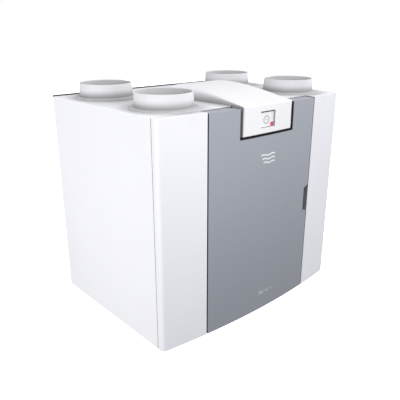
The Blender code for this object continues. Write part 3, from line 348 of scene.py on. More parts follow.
def round_edges(piece, width, segments, test):
    """Round only the edges that pass a test of their middle and direction."""
    pick(piece)
    bpy.ops.object.mode_set(mode="EDIT")
    found = choose("EDGE", test)
    if found:
        bpy.ops.mesh.bevel(offset=width, segments=segments, affect="EDGES")
    bpy.ops.object.mode_set(mode="OBJECT")
    return found


def rounded(corners, steps=6):
    """An outline whose corners (a, b, radius) are replaced by arcs."""
    outline = []
    for i, (a, b, radius) in enumerate(corners):
        if radius == 0:
            outline.append((a, b))
            continue
        here = Vector((a, b))
        before = (Vector(corners[i - 1][:2]) - here).normalized()
        after = (Vector(corners[(i + 1) % len(corners)][:2]) - here).normalized()
        half = before.angle(after) / 2
        middle = here + (before + after).normalized() * (radius / math.sin(half))
        start = here + before * (radius / math.tan(half)) - middle
        sweep = start.angle_signed(here + after * (radius / math.tan(half)) - middle)
        for step in range(steps + 1):
            outline.append(tuple(middle + Matrix.Rotation(-sweep * step / steps, 2) @ start))
    return outline


def arc(a, b, radius, start, end, count):
    """Points round (a, b) from one angle to another, in degrees."""
    turns = [math.radians(start + (end - start) * step / count) for step in range(count + 1)]
    return [(a + radius * math.cos(turn), b + radius * math.sin(turn)) for turn in turns]


def box_outline(low_a, low_b, high_a, high_b, radius=0.0, steps=6):
    """A rectangle with rounded corners."""
    return rounded([(low_a, low_b, radius), (high_a, low_b, radius), (high_a, high_b, radius),
                    (low_a, high_b, radius)], steps)


def fit(piece, surface, body="casing", replaces=()):
    """Give a finished piece its material and body, and hide the nodes it stands for."""
    if surface:
        piece.data.materials.clear()
        piece.data.materials.append(surface)
    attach(piece, body)
    if replaces:
        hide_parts(*replaces)
    print("%s: %d faces" % (piece.name, len(piece.data.polygons)))
    return piece


SIDES = {"left": -1, "right": 1}

# %% [markdown]
# ## Finishes
# Every surface here is painted, moulded, rolled or foamed, and each way of making it leaves its
# own grain. Enamel has a faint orange peel, moulded plastic a fine spark-eroded grain, zinc its
# crystals, and foam its beads. What several finishes share is built once as a node group and
# placed in each material with its own values. All patterns use Object coordinates, so they stay
# with the piece when the door or a fan turns.


# %% Node group helpers
def new_group(name, inputs, outputs):
    """A node group with named sockets, and its input and output nodes."""
    group = bpy.data.node_groups.new(name, "ShaderNodeTree")
    for title, kind, value in inputs:
        socket = group.interface.new_socket(title, in_out="INPUT", socket_type="NodeSocket" + kind)
        socket.default_value = value
    for title, kind in outputs:
        group.interface.new_socket(title, in_out="OUTPUT", socket_type="NodeSocket" + kind)
    return group, group.nodes.new("NodeGroupInput"), group.nodes.new("NodeGroupOutput")


def give(group, group_out, **sockets):
    """Wire results to the group's outputs."""
    for title, socket in sockets.items():
        group.links.new(socket, group_out.inputs[title])

# %% [markdown]
# ### Grain
# The group gives three things from two noise textures: a colour that wanders a little lighter and
# darker, a roughness that wanders with it, and a normal from a very shallow bump. The wander keeps
# a large plain panel from looking like flat paint, and the bump breaks up its highlights.

# %% Grain group
grain, g_in, g_out = new_group(
    "grain",
    [("Colour", "Color", (0.8, 0.8, 0.8, 1)), ("Wander", "Float", 0.04), ("Roughness", "Float", 0.4),
     ("Roughness Wander", "Float", 0.08), ("Patch Scale", "Float", 6.0), ("Grain Scale", "Float", 600.0),
     ("Depth", "Float", 0.2)],
    [("Colour", "Color"), ("Roughness", "Float"), ("Normal", "Vector")])
g_place = add(grain, "TexCoord").outputs["Object"]
g_patch = add(grain, "TexNoise", Vector=g_place, Scale=g_in.outputs["Patch Scale"], Detail=3.0)
g_fine = add(grain, "TexNoise", Vector=g_place, Scale=g_in.outputs["Grain Scale"], Detail=2.0)
g_centred = reckon(grain, "SUBTRACT", g_patch.outputs["Fac"], 0.5)
g_shift = reckon(grain, "MULTIPLY_ADD", g_centred, g_in.outputs["Wander"], 1.0)
g_rough = reckon(grain, "MULTIPLY_ADD", g_centred, g_in.outputs["Roughness Wander"],
                 g_in.outputs["Roughness"])
g_bump = add(grain, "Bump", Height=g_fine.outputs["Fac"], Strength=g_in.outputs["Depth"], Distance=0.0002)
give(grain, g_out, Colour=tinted(grain, g_in.outputs["Colour"], g_shift), Roughness=g_rough,
     Normal=g_bump.outputs["Normal"])

# %% [markdown]
# ### Worn edges
# Paint and plastic are handled along their edges first. Pointiness is high where a mesh turns
# sharply outwards, and a ramp turns it into a mask, which noise breaks up.

# %% Worn edge group
worn, w_in, w_out = new_group(
    "worn_edges",
    [("Colour", "Color", (0.8, 0.8, 0.8, 1)), ("Edge Colour", "Color", (0.9, 0.9, 0.9, 1)),
     ("Amount", "Float", 0.3)],
    [("Colour", "Color")])
w_sharp = add(worn, "NewGeometry").outputs["Pointiness"]
w_mask = add(worn, "MapRange", Value=w_sharp, From_Min=0.52, From_Max=0.60)
w_noise = add(worn, "TexNoise", Vector=add(worn, "TexCoord").outputs["Object"], Scale=90.0, Detail=3.0)
w_broken = reckon(worn, "MULTIPLY", w_mask.outputs["Result"], w_noise.outputs["Fac"])
w_amount = reckon(worn, "MULTIPLY", w_broken, w_in.outputs["Amount"])
w_mix = add(worn, "Mix", {"data_type": "RGBA"}, Factor=w_amount, A=w_in.outputs["Colour"],
            B=w_in.outputs["Edge Colour"])
give(worn, w_out, Colour=w_mix.outputs["Result"])


# %% [markdown]
# ### Soft shades
# Light thins out in the foot of a spigot, under the hood's flank and low on the door. Each of
# these is a shade between two places: a value is turned into a share between a start and an end,
# and the colour is multiplied by a tint that runs from a low one to a high one.

# %% Soft shade group
shade, s_in, s_out = new_group(
    "soft_shade",
    [("Colour", "Color", (0.8, 0.8, 0.8, 1)), ("Place", "Float", 0.0), ("Start", "Float", 0.0),
     ("End", "Float", 1.0), ("Low", "Float", 0.5), ("High", "Float", 1.0), ("Amount", "Float", 1.0)],
    [("Colour", "Color")])
s_share = add(shade, "MapRange", {"interpolation_type": "SMOOTHSTEP"}, Value=s_in.outputs["Place"],
              From_Min=s_in.outputs["Start"], From_Max=s_in.outputs["End"],
              To_Min=s_in.outputs["Low"], To_Max=s_in.outputs["High"])
s_less = reckon(shade, "SUBTRACT", s_share.outputs["Result"], 1.0)
s_part = reckon(shade, "MULTIPLY_ADD", s_less, s_in.outputs["Amount"], 1.0)
give(shade, s_out, Colour=tinted(shade, s_in.outputs["Colour"], s_part))


# %% Grained materials
ROUGHNESS_WANDER = 0.08
WORN_GAIN = 1.15
WORN_LIFT = 0.02


def dressed(name, group, values, **shader):
    """A Principled material whose sockets come from a node group with the same output names."""
    made = bpy.data.materials.new(name)
    made.use_nodes = True
    tree = made.node_tree
    body = tree.nodes["Principled BSDF"]
    skin = add(tree, "Group", {"node_tree": group}, **values)
    for title, target in (("Colour", "Base Color"), ("Roughness", "Roughness"), ("Normal", "Normal")):
        if title in skin.outputs:
            tree.links.new(skin.outputs[title], body.inputs[target])
    for title, value in shader.items():
        body.inputs[title.replace("_", " ")].default_value = value
    return made


def recoloured(made, group, **values):
    """Put a group that changes the colour between a material's Principled shader and what feeds it."""
    tree = made.node_tree
    base = tree.nodes["Principled BSDF"].inputs["Base Color"]
    changed = add(tree, "Group", {"node_tree": group}, Colour=base.links[0].from_socket, **values)
    tree.links.new(changed.outputs["Colour"], base)
    return made


def grained(name, colour, roughness, wander=0.03, patch=6.0, fine=600.0, depth=0.15, wear=0.2,
            **shader):
    """A Principled material dressed with the grain and worn edge groups."""
    made = dressed(name, grain, {"Colour": (*colour, 1.0), "Wander": wander, "Roughness": roughness,
                                 "Roughness Wander": ROUGHNESS_WANDER, "Patch Scale": patch,
                                 "Grain Scale": fine, "Depth": depth}, **shader)
    lighter = [min(1.0, part * WORN_GAIN + WORN_LIFT) for part in colour]
    return recoloured(made, worn, Edge_Colour=(*lighter, 1.0), Amount=wear)


def shaded(made, start, end, low, high=1.0, place=None, amount=1.0):
    """Put a soft shade over a material's colour, along the height unless another place is given."""
    if place is None:
        here = add(made.node_tree, "TexCoord").outputs["Object"]
        place = add(made.node_tree, "SeparateXYZ", Vector=here).outputs["Z"]
    return recoloured(made, shade, Place=place, Start=start, End=end, Low=low, High=high, Amount=amount)


enamel = grained("casing_enamel", (0.88, 0.88, 0.91), 0.42, fine=420.0, depth=0.12)
door_paint = grained("door_paint", (0.345, 0.362, 0.402), 0.42, fine=700.0, depth=0.2)
hood_plastic = grained("hood_plastic", (0.87, 0.87, 0.89), 0.38, fine=900.0, depth=0.1)
spigot_plastic = grained("spigot_plastic", (0.69, 0.69, 0.705), 0.45, fine=900.0, depth=0.12)
dark_plastic = grained("dark_plastic", (0.05, 0.05, 0.055), 0.5, fine=800.0, depth=0.3)
recess_plastic = grained("recess_plastic", (0.36, 0.365, 0.38), 0.55, fine=900.0, depth=0.2)
rubber = grained("soft_rubber", (0.02, 0.02, 0.021), 0.75, fine=500.0, depth=0.3)
grey_plastic = grained("grey_plastic", (0.22, 0.225, 0.24), 0.5, fine=700.0, depth=0.25)
print("materials:", len(bpy.data.materials))

# %% [markdown]
# ## Sizes
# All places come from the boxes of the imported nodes, so the pieces follow the model if it is
# packed again with other sizes. Only the bow of the front isn't in any box: it is the height of
# the arc that the front makes between its two corners. GAP keeps two pieces apart, NEAR and ABOUT
# tell what lies on a line or a plane, and a cutter reaches OVER or FAR_OVER past what it cuts.

# %% Sizes from the frame
BOW = 0.0275
SHEET = 0.0015
CORNER_R = 0.012
DOOR_EDGE_R = 0.0012
PRINT_HEIGHT = 0.0002
GAP = 0.0003
NEAR = 0.0001
ABOUT = 0.0005
MOSTLY = 0.9
OVER = 0.01
FAR_OVER = 0.02
COLUMN_EDGE_R = 0.0030
column_low, column_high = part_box("front_column_right")
door_low, door_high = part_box("filter_door")
side_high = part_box("side_panel_right")[1]
plate_low, plate_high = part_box("top_plate")
hood_low, hood_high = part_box("hood")
SIDE_X = column_high.x
TOP_Z = column_high.z
SEAM_Y = column_high.y
FRONT_Y = door_low.y
BACK_Y = side_high.y


def front_y(x, inset=0.0):
    """Where the bowed front is at x, moved in by an inset."""
    return FRONT_Y + BOW * (x / SIDE_X) ** 2 + inset


print("casing %.0f x %.0f x %.0f mm" % (2000 * SIDE_X, 1000 * (BACK_Y - FRONT_Y), 1000 * TOP_Z))

# %% [markdown]
# ### Where the light thins out
# Several surfaces get a painted shade, multiplied into their colour. The door loses a little light
# towards the floor. The outer wall of a spigot darkens towards its flange, the flange itself is
# painted darker all over, and the top plate and the column covers darken in a narrow ring round
# each one. The plate also darkens in a broad patch in front of each rear spigot and in a band
# beside the hood's foot, and is painted a little lighter towards its left edge. The hood's flanks
# turn away from the light, so only faces that point sideways are shaded there, and more so near
# their foot.

# %% Shaded materials
SPIGOT_FOOT_Z = TOP_Z + 0.004
SPIGOT_LIT_Z = TOP_Z + 0.031
FLANK_LIT_Z = TOP_Z + 0.030
FLANK_DARK_Z = TOP_Z - 0.002
FLANGE_R = 0.0945
FLANGE_SHADE_IN = 0.002
HOOD_SHADE = 0.040
RING_SHADE = 0.045
# Centre shift and reach of the painted shade in front of each rear spigot.
REAR_SHADE_SHIFT = Vector((0.0, -0.100, 0.0))
REAR_SHADE_REACH = 0.19

# Painted shade: the door's colour darkens towards the floor and lightens a little towards its top.
shaded(door_paint, 0.0, TOP_Z, 0.87, 1.05)
# Painted shade: the spigot's outer wall darkens towards its flange.
spigot_wall = grained("spigot_wall", (0.71, 0.71, 0.73), 0.65, fine=900.0, depth=0.12,
                      Specular_IOR_Level=0.25)
shaded(spigot_wall, SPIGOT_FOOT_Z, SPIGOT_LIT_Z, 0.42, 1.0)
# The flange is the same white moulding, painted darker all over as shade.
spigot_flange_shaded = grained("spigot_flange_shaded", (0.50, 0.50, 0.515), 0.45, fine=900.0, depth=0.12)
seal_foam = grained("seal_foam", (0.88, 0.88, 0.89), 0.85, fine=400.0, depth=0.4)

# Painted shade: the hood's sideways-facing flanks darken towards their foot.
hood_tree = hood_plastic.node_tree
sideways = add(hood_tree, "Attribute", {"attribute_name": "sideways"}).outputs["Fac"]
flank = add(hood_tree, "MapRange", Value=sideways, From_Min=0.35, From_Max=0.95)
shaded(hood_plastic, FLANK_DARK_Z, FLANK_LIT_Z, 0.36, 0.95, amount=flank.outputs["Result"])

spigots = {}
for row in ("front", "rear"):
    for side in SIDES:
        low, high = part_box("spigot_%s_%s" % (row, side))
        spigots[row + "_" + side] = (low + high) / 2

def ringed(made, low):
    """Shade a material in a ring round each spigot's flange."""
    tree = made.node_tree
    place = add(tree, "TexCoord").outputs["Object"]
    nearest = None
    for tag, centre in spigots.items():
        away = add(tree, "VectorMath", {"operation": "DISTANCE"}, i0=place,
                   i1=(centre.x, centre.y, TOP_Z)).outputs["Value"]
        nearest = reckon(tree, "MINIMUM", nearest, away) if nearest else away
    return shaded(made, FLANGE_R - FLANGE_SHADE_IN, FLANGE_R + RING_SHADE, low, 1.0, place=nearest)


# Painted shade: the top plate and the column covers darken in a ring round each spigot's flange, the
# columns more so.
plate_enamel = ringed(grained("plate_enamel", (0.86, 0.86, 0.89), 0.42, fine=420.0, depth=0.12), 0.66)
column_enamel = ringed(grained("column_enamel", (0.86, 0.86, 0.90), 0.42, fine=420.0, depth=0.12), 0.45)
plate_tree = plate_enamel.node_tree
plate_place = add(plate_tree, "TexCoord").outputs["Object"]
# Painted shade: the plate darkens in a broad patch in front of each rear spigot.
for tag in ("rear_left", "rear_right"):
    middle = spigots[tag] + REAR_SHADE_SHIFT
    away = add(plate_tree, "VectorMath", {"operation": "DISTANCE"}, i0=plate_place,
               i1=(middle.x, middle.y, TOP_Z)).outputs["Value"]
    shaded(plate_enamel, 0.0, REAR_SHADE_REACH, 0.62, 1.0, place=away)
plate_parts = add(plate_tree, "SeparateXYZ", Vector=plate_place)
# Painted light: the left half of the plate is painted lighter towards its left edge.
shaded(plate_enamel, -SIDE_X, 0.0, 1.13, 1.0, place=plate_parts.outputs["X"])
# Painted shade: a band of the plate beside the hood's foot is darker, fading out behind the hood.
beside = reckon(plate_tree, "ABSOLUTE", plate_parts.outputs["X"])
before_rear = add(plate_tree, "MapRange", Value=plate_parts.outputs["Y"], From_Min=hood_high.y + 0.03,
                  From_Max=hood_high.y - FAR_OVER)
shaded(plate_enamel, hood_high.x - FLANGE_SHADE_IN, hood_high.x + HOOD_SHADE, 0.66, 1.0, place=beside,
       amount=before_rear.outputs["Result"])

# %% [markdown]
# ## Front columns
# Each column is a sheet steel cover: a flat side, a generous rounded corner, a bowed front and a
# tighter rounded edge beside the door. In plan it is one outline, so it is drawn once, filled and
# pulled up to full height. The open back is an inset face pushed in, and the other column is the
# same outline mirrored. Only the outer top edge is rounded, because the joint with the top plate
# is butted.


# %% Build the columns
COLUMN_WALL = 0.002
COLUMN_HOLLOW = 0.016
COLUMN_TOP_R = 0.0012


def column_plan(sign):
    """The column's outline (x, y), clockwise from its rear outer corner."""
    inner = column_low.x
    corners = [(SIDE_X, SEAM_Y, 0), (SIDE_X, front_y(SIDE_X), CORNER_R)]
    count = 14
    for step in range(1, count):
        x = SIDE_X + (inner - SIDE_X) * step / count
        corners.append((x, front_y(x), 0))
    corners += [(inner, front_y(inner), COLUMN_EDGE_R), (inner, SEAM_Y, 0)]
    return [(sign * x, y) for x, y in rounded(corners, 10)]


for side, sign in SIDES.items():
    cover = slab("front_cover_" + side, column_plan(sign), "Z", 0.0, TOP_Z)
    pick(cover)
    bpy.ops.object.mode_set(mode="EDIT")
    choose("FACE", lambda middle, way: way.y > 0.99)
    bpy.ops.mesh.inset(thickness=COLUMN_WALL)
    bpy.ops.mesh.extrude_region_move(TRANSFORM_OT_translate={"value": (0, -COLUMN_HOLLOW, 0)})
    bpy.ops.object.mode_set(mode="OBJECT")
    round_edges(cover, COLUMN_TOP_R, 3, lambda middle, way: abs(way.z) < 0.5 and middle.y < SEAM_Y - ABOUT
                and (middle.z > TOP_Z - NEAR or middle.z < NEAR))
    smooth(cover)
    fit(cover, column_enamel, replaces=["front_column_" + side])

# %% [markdown]
# ## Side panels and top plate
# The side panels are folded sheet: flat outside, with a narrow return at the rear that stiffens
# the edge and frames the recessed back. Drawn in plan as a hook, each is one slab. The top plate
# is a flat sheet with four duct holes, cut with round bars, and the top edges along its two sides are
# rounded.

# %% Build the side panels
RETURN_WIDTH = 0.012
SEAM_GAP = 0.0019
PANEL_EDGE_R = 0.0007

for side, sign in SIDES.items():
    inner = SIDE_X - SHEET
    front = SEAM_Y + SEAM_GAP
    hook = [(SIDE_X, front), (SIDE_X, BACK_Y), (SIDE_X - RETURN_WIDTH, BACK_Y),
            (SIDE_X - RETURN_WIDTH, BACK_Y - SHEET), (inner, BACK_Y - SHEET), (inner, front)]
    panel = slab("side_cover_" + side, [(sign * x, y) for x, y in hook], "Z", SHEET, TOP_Z - SHEET)
    round_edges(panel, PANEL_EDGE_R, 2, lambda middle, way: abs(way.z) > MOSTLY
                and abs(middle.x) > SIDE_X - NEAR)
    smooth(panel)
    fit(panel, enamel, replaces=["side_panel_" + side])

# %% Build the top plate
DUCT_HOLE_R = 0.080
PLATE_EDGE_R = 0.0013

top = block("top_cover", plate_low, plate_high)
for tag, centre in spigots.items():
    carve(top, drum("hole", (centre.x, centre.y, TOP_Z), DUCT_HOLE_R, FAR_OVER, sides=96))
tidy(top)
round_edges(top, PLATE_EDGE_R, 4, lambda middle, way: abs(way.y) > MOSTLY
            and abs(middle.x) > SIDE_X - NEAR and middle.z > TOP_Z - NEAR)
smooth(top)
fit(top, plate_enamel, replaces=["top_plate"])

# %% [markdown]
# ## Duct spigots
# A spigot is a moulded ring: a flange that sits on a gasket, a short tapered wall that the duct
# is pushed over, and a rolled lip. It is round, so its closed profile is drawn once and spun.
# A small fillet rounds the foot of the wall where it meets the flange. The outer wall is painted
# darker towards that foot and the flange is painted darker all over, both as painted shade.


# %% Build the spigots
BORE_FOOT_R = 0.0760
BORE_RIM_R = 0.0754
NECK_R = 0.0790
FLANGE_ROUND = 0.0015
FILLET_R = 0.0025
WALL_FOOT_R = 0.0806
WALL_RIM_R = 0.0788
LIP_R = 0.0014
LIP_MIDDLE_R = 0.0766
FILLET_MIDDLE_R = 0.0835


def spigot_profile(low, high):
    """The closed (radius, height) profile of a spigot, from the foot of its inner wall."""
    flange = TOP_Z + 0.0016
    points = [(BORE_FOOT_R, low.z), (NECK_R, low.z), (NECK_R, flange)]
    points += arc(FLANGE_R - FLANGE_ROUND, flange + FLANGE_ROUND, FLANGE_ROUND, -90, 90, 6)
    points += arc(FILLET_MIDDLE_R, flange + 2 * FLANGE_ROUND + FILLET_R, FILLET_R, -90, -180, 5)
    points += [(WALL_FOOT_R, flange + 0.012), (WALL_RIM_R, high.z - 0.006)]
    points += arc(LIP_MIDDLE_R, high.z - LIP_R, LIP_R, -20, 200, 11)
    return points + [(BORE_RIM_R, high.z - 0.008)]


spigot_low, spigot_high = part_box("spigot_front_left")
first_spigot = lathe("duct_spigot_front_left", spigot_profile(spigot_low, spigot_high),
                     (*spigots["front_left"].xy, 0.0))
smooth(first_spigot, 40)


def outer_wall(middle, way):
    """True for the tapered wall that faces away from the spigot's axis."""
    out = middle - spigots["front_left"]
    return way.xy.dot(out.xy) > 0 and middle.z > SPIGOT_FOOT_Z + 0.001


def flange_top(middle, way):
    """True for the flange and its rounded edge."""
    out = middle - spigots["front_left"]
    return out.xy.length > FILLET_MIDDLE_R - 0.001 and middle.z <= SPIGOT_FOOT_Z + 0.001


for surface in (spigot_plastic, spigot_wall, spigot_flange_shaded):
    first_spigot.data.materials.append(surface)
# The outer wall takes the material with a painted shade at its foot, the flange the one painted darker as
# shade.
repaint(first_spigot, 1, outer_wall)
repaint(first_spigot, 2, flange_top)
for tag, centre in spigots.items():
    if tag == "front_left":
        made = first_spigot
    else:
        pick(first_spigot)
        bpy.ops.object.duplicate()
        bpy.context.object.location = (centre - spigots["front_left"]) * Vector((1, 1, 0))
        made = settle("duct_spigot_" + tag)
        made.parent = None
    fit(made, None, replaces=["spigot_" + tag])

# %% [markdown]
# ## Filter door
# The door is a shallow tray with a bowed face. In plan it is an arc with rounded ends, pulled up
# to full height. A block takes out the notch for the hood, a slanted wedge the finger recess, and
# a smaller copy of the plan hollows it from behind. Last, every crisp edge gets a small radius so
# that it catches light.

# %% Door sizes
DOOR_HALF = door_high.x
DOOR_REAR_Y = door_high.y
NOTCH_HALF = 0.1135
NOTCH_Z = TOP_Z - 0.088
HIGH_UP = 1.0
SKIN = 0.0025
HINGE_BARREL_R = 0.0036
ARM_CLEAR = 0.0020
pull_low, pull_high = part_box("finger_pull")
RECESS_WALL = 0.002
RECESS_FALL = 0.009 / 0.0205
RECESS_HEIGHT = 0.0895
RECESS_R = 0.004
RECESS_TOP_R = 0.005
DOOR_ROUND = 0.0008
LEAST_R = 0.0005


def door_plan(inset, rear_y):
    """The door's plan, bowed in front and straight behind."""
    half = DOOR_HALF - inset
    edge = max(DOOR_EDGE_R - inset, LEAST_R)
    corners = [(half, rear_y, 0), (-half, rear_y, 0)]
    count = 40
    for step in range(count + 1):
        x = -half + 2 * half * step / count
        ends = step in (0, count)
        corners.append((x, front_y(x, inset + PRINT_HEIGHT), edge if ends else 0))
    return rounded(corners, 8)


def recess_outline(grow, reach):
    """The finger recess seen from the front, from its lower outer corner."""
    inner = pull_low.x + RECESS_WALL - grow
    low = pull_low.z + RECESS_WALL - grow
    high = low + 2 * grow + RECESS_HEIGHT
    radius = RECESS_R + grow
    return rounded([(reach, low, 0), (inner, low, radius),
                    (inner, high - RECESS_FALL * (DOOR_HALF - inner), RECESS_TOP_R),
                    (reach, high - RECESS_FALL * (DOOR_HALF - reach), 0)], 6)


# %% Build the door
door = slab("door_shell", door_plan(0.0, DOOR_REAR_Y), "Z", door_low.z, door_high.z)
carve(door, block("notch", (-NOTCH_HALF, FRONT_Y - FAR_OVER, NOTCH_Z), (NOTCH_HALF, BACK_Y, HIGH_UP)))
hollow = slab("hollow", door_plan(SKIN, DOOR_REAR_Y + OVER), "Z", door_low.z + SKIN, door_high.z - SKIN)
carve(hollow, block("notch_wall", (-NOTCH_HALF - SKIN, FRONT_Y - FAR_OVER, NOTCH_Z - SKIN),
                    (NOTCH_HALF + SKIN, BACK_Y, HIGH_UP)))
carve(door, hollow)
carve(door, slab("recess", recess_outline(RECESS_WALL + GAP, DOOR_HALF + FAR_OVER), "Y",
                 FRONT_Y - FAR_OVER, pull_high.y + GAP))
for level in ("upper", "lower"):
    lug_low, lug_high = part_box("hinge_lug_" + level)
    pin_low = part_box("hinge_bracket_" + level)[0]
    window_y = pin_low.y + HINGE_BARREL_R - ARM_CLEAR
    carve(door, block("window", (-DOOR_HALF - OVER, window_y, lug_low.z - GAP),
                      (-DOOR_HALF + SKIN + 0.001, BACK_Y, lug_high.z + GAP)))
tidy(door)
soften(door, DOOR_ROUND)
# The door's left side wall, seen in the gap on the hinge side, takes black rubber as a painted shade for
# the dark of that gap.
for surface in (door_paint, rubber):
    door.data.materials.append(surface)
repaint(door, 1, lambda middle, way: way.x < -0.95 and middle.x < -DOOR_HALF + ABOUT)
fit(door, None, "door", ["filter_door"])

# %% Build the finger recess
cup = slab("finger_cup", recess_outline(RECESS_WALL, DOOR_HALF - GAP), "Y", pull_low.y, pull_high.y)
carve(cup, slab("cup_inside", recess_outline(0.0, DOOR_HALF + FAR_OVER), "Y", pull_low.y - FAR_OVER,
                pull_high.y - RECESS_WALL))
tidy(cup)
soften(cup, 0.0005)
fit(cup, recess_plastic, "door", ["finger_pull"])

# %% [markdown]
# ## Hood
# The hood is one thin moulding. Its front hangs in the door's notch and follows the bow; its top
# rises from the front edge and levels out towards the rear, and its sides swell into rounded
# shoulders. A row of cross-sections bridged one after the other gives that shape. It is then
# trimmed to the bow, rounded along its front, hollowed with a smaller copy of itself, and opened
# for the display.

# %% Hood sections
HOOD_HALF = 0.1025
HOOD_FLARE = 0.008
HOOD_BOTTOM = hood_low.z
HOOD_REAR_Y = hood_high.y
HOOD_FOOT = TOP_Z + GAP
HOOD_WALL = 0.0025
HOOD_LIP = 0.0015
HOOD_RISE = 0.036
HOOD_LEVEL_AT = 0.93
HOOD_CURVE = 1.08
HOOD_LEAN = 0.004
HOOD_CAMBER = 0.0008
HOOD_EDGE_R = 0.0028
SHOULDER_R = 0.014
SHOULDER_START = 0.3
SHOULDER_MOST = 0.6
LEAST_SHOULDER_R = 0.001


def hood_crown(y):
    """Height of the hood's top line at y."""
    along = (y - FRONT_Y) / (HOOD_REAR_Y - FRONT_Y)
    rise = math.sin(max(min(along / HOOD_LEVEL_AT, 1.0), 0.0) * math.pi / 2) ** HOOD_CURVE
    return TOP_Z + HOOD_LIP + HOOD_RISE * rise


def hood_section(y, inset, low):
    """The hood's cross-section (x, y, z) at y, from its left foot over the top."""
    along = min(max((y - FRONT_Y) / (HOOD_REAR_Y - FRONT_Y), 0.0), 1.0)
    foot = HOOD_HALF + HOOD_FLARE * along - inset
    crown = hood_crown(y) - inset
    radius = min(SHOULDER_R * (SHOULDER_START + along), (crown - HOOD_FOOT) * SHOULDER_MOST)
    shoulder = rounded([(-foot, HOOD_FOOT - 0.004, 0),
                        (-foot + HOOD_LEAN * along, crown, max(radius - inset, LEAST_SHOULDER_R)),
                        (0.0, crown + HOOD_CAMBER, 0)], 8)[1:-1]
    left = [(-foot, low), (-foot, HOOD_FOOT)] + shoulder
    return [(x, y, z) for x, z in left] + [(-x, y, z) for x, z in reversed(left)]


def bridge(name, rings):
    """Closed rings of vertices joined one after the other and capped at both ends."""
    wires = []
    for ring in rings:
        chain(ring + [ring[0]])
        bpy.ops.mesh.select_all(action="SELECT")
        bpy.ops.mesh.remove_doubles(threshold=MERGE)
        bpy.ops.object.mode_set(mode="OBJECT")
        wires.append(bpy.context.object)
    pick(*wires)
    bpy.ops.object.transform_apply(location=True)
    bpy.ops.object.join()
    bpy.ops.object.mode_set(mode="EDIT")
    bpy.ops.mesh.select_mode(type="EDGE")
    bpy.ops.mesh.select_all(action="SELECT")
    bpy.ops.mesh.bridge_edge_loops(type="SINGLE")
    bpy.ops.mesh.select_all(action="DESELECT")
    bpy.ops.mesh.select_non_manifold(extend=False)
    bpy.ops.mesh.edge_face_add()
    outwards()
    return settle(name)


def hood_solid(name, inset, rear_wall):
    """The hood's outside, or with an inset its hollow."""
    hang = HOOD_BOTTOM + inset
    past = OVER if inset else 0.0
    low = HOOD_FOOT - past
    back = DOOR_REAR_Y - GAP + past
    rings = [hood_section(y, inset, hang)
             for y in (FRONT_Y - OVER, FRONT_Y, FRONT_Y + 0.015, FRONT_Y + 0.030, back - NEAR)]
    count = 20
    for step in range(count + 1):
        y = back + (HOOD_REAR_Y - rear_wall - back) * step / count
        rings.append(hood_section(y, inset, low))
    return bridge(name, rings)


def bow_cutter(name, inset):
    """A block whose front follows the bow."""
    count = 24
    reach = HOOD_HALF + 0.03
    plan = [(reach, BACK_Y), (-reach, BACK_Y)]
    for step in range(count + 1):
        x = -reach + 2 * reach * step / count
        plan.append((x, front_y(x, inset)))
    return slab(name, plan, "Z", -0.1, HIGH_UP)


# %% Build the hood
hood = hood_solid("hood_shell", 0.0, 0.0)
carve(hood, bow_cutter("bow", 0.0), "INTERSECT")
tidy(hood)


def front_edge(middle, way):
    """True for the edges round the hood's face, and its two upright ones."""
    if abs(way.z) > MOSTLY:
        return middle.y < front_y(HOOD_HALF) + 0.0004 and abs(middle.x) > HOOD_HALF - 0.001
    return middle.y < front_y(middle.x) + 0.0004


print("front edges rounded:", round_edges(hood, HOOD_EDGE_R, 5, front_edge))
inside = hood_solid("hood_inside", HOOD_WALL, HOOD_WALL)
carve(inside, bow_cutter("inner_bow", HOOD_WALL), "INTERSECT")
carve(hood, inside)

# %% [markdown]
# ## Display
# A small window is let into the hood's face: four smooth walls lead down to a white glass with a
# dial printed on it and a red key in its lower corner. The depth of the recess is real, so its
# top and right walls shade themselves. A thin dark seal rings the glass, and its much wider top
# bar adds a painted shadow under the top wall.

# %% Build the display opening, glass and marks
screen_low, screen_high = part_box("display_screen")
WINDOW_R = 0.001
GLAND_HOLE_R = 0.0083

window = box_outline(screen_low.x - GAP, screen_low.z - GAP, screen_high.x + GAP, screen_high.z + GAP,
                     WINDOW_R, 4)
carve(hood, slab("window", window, "Y", FRONT_Y - OVER, FRONT_Y + 0.012))
gland_low, gland_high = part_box("mains_gland")
gland = (gland_low + gland_high) / 2
carve(hood, drum("gland_hole", (gland.x, HOOD_REAR_Y, gland.z), GLAND_HOLE_R, FAR_OVER, "Y"))
tidy(hood)
smooth(hood, 30)
# How far each corner faces sideways, stored for the painted shade on the hood's flanks.
sideways = hood.data.attributes.new("sideways", "FLOAT", "CORNER")
sideways.data.foreach_set("value", [abs(way.vector.x) for way in hood.data.corner_normals])
fit(hood, hood_plastic, "casing", ["hood"])

# %% Build the display
DISPLAY_X = (screen_low.x + screen_high.x) / 2
DISPLAY_Z = (screen_low.z + screen_high.z) / 2
GLASS_Y = screen_low.y
SEAL = 0.0009
TOP_SHADOW_BAR = 0.0042
INK = 0.0003
INK_IN = 0.0002
DIAL_R = 0.0125
DIAL_HOLE_R = 0.0102
TICK_FROM = 0.0072
TICK_TO = 0.0092
TICK_HALF = 0.0005
DOT_R = 0.0022
THROUGH = (0.1, -0.4)

display_glass = grained("display_glass", (0.90, 0.90, 0.905), 0.12, wander=0.01, depth=0.01, wear=0.0)
dial_grey = grained("dial_grey", (0.42, 0.40, 0.40), 0.3, depth=0.02, wear=0.0)
key_red = grained("key_red", (0.62, 0.10, 0.16), 0.3, depth=0.02, wear=0.0)

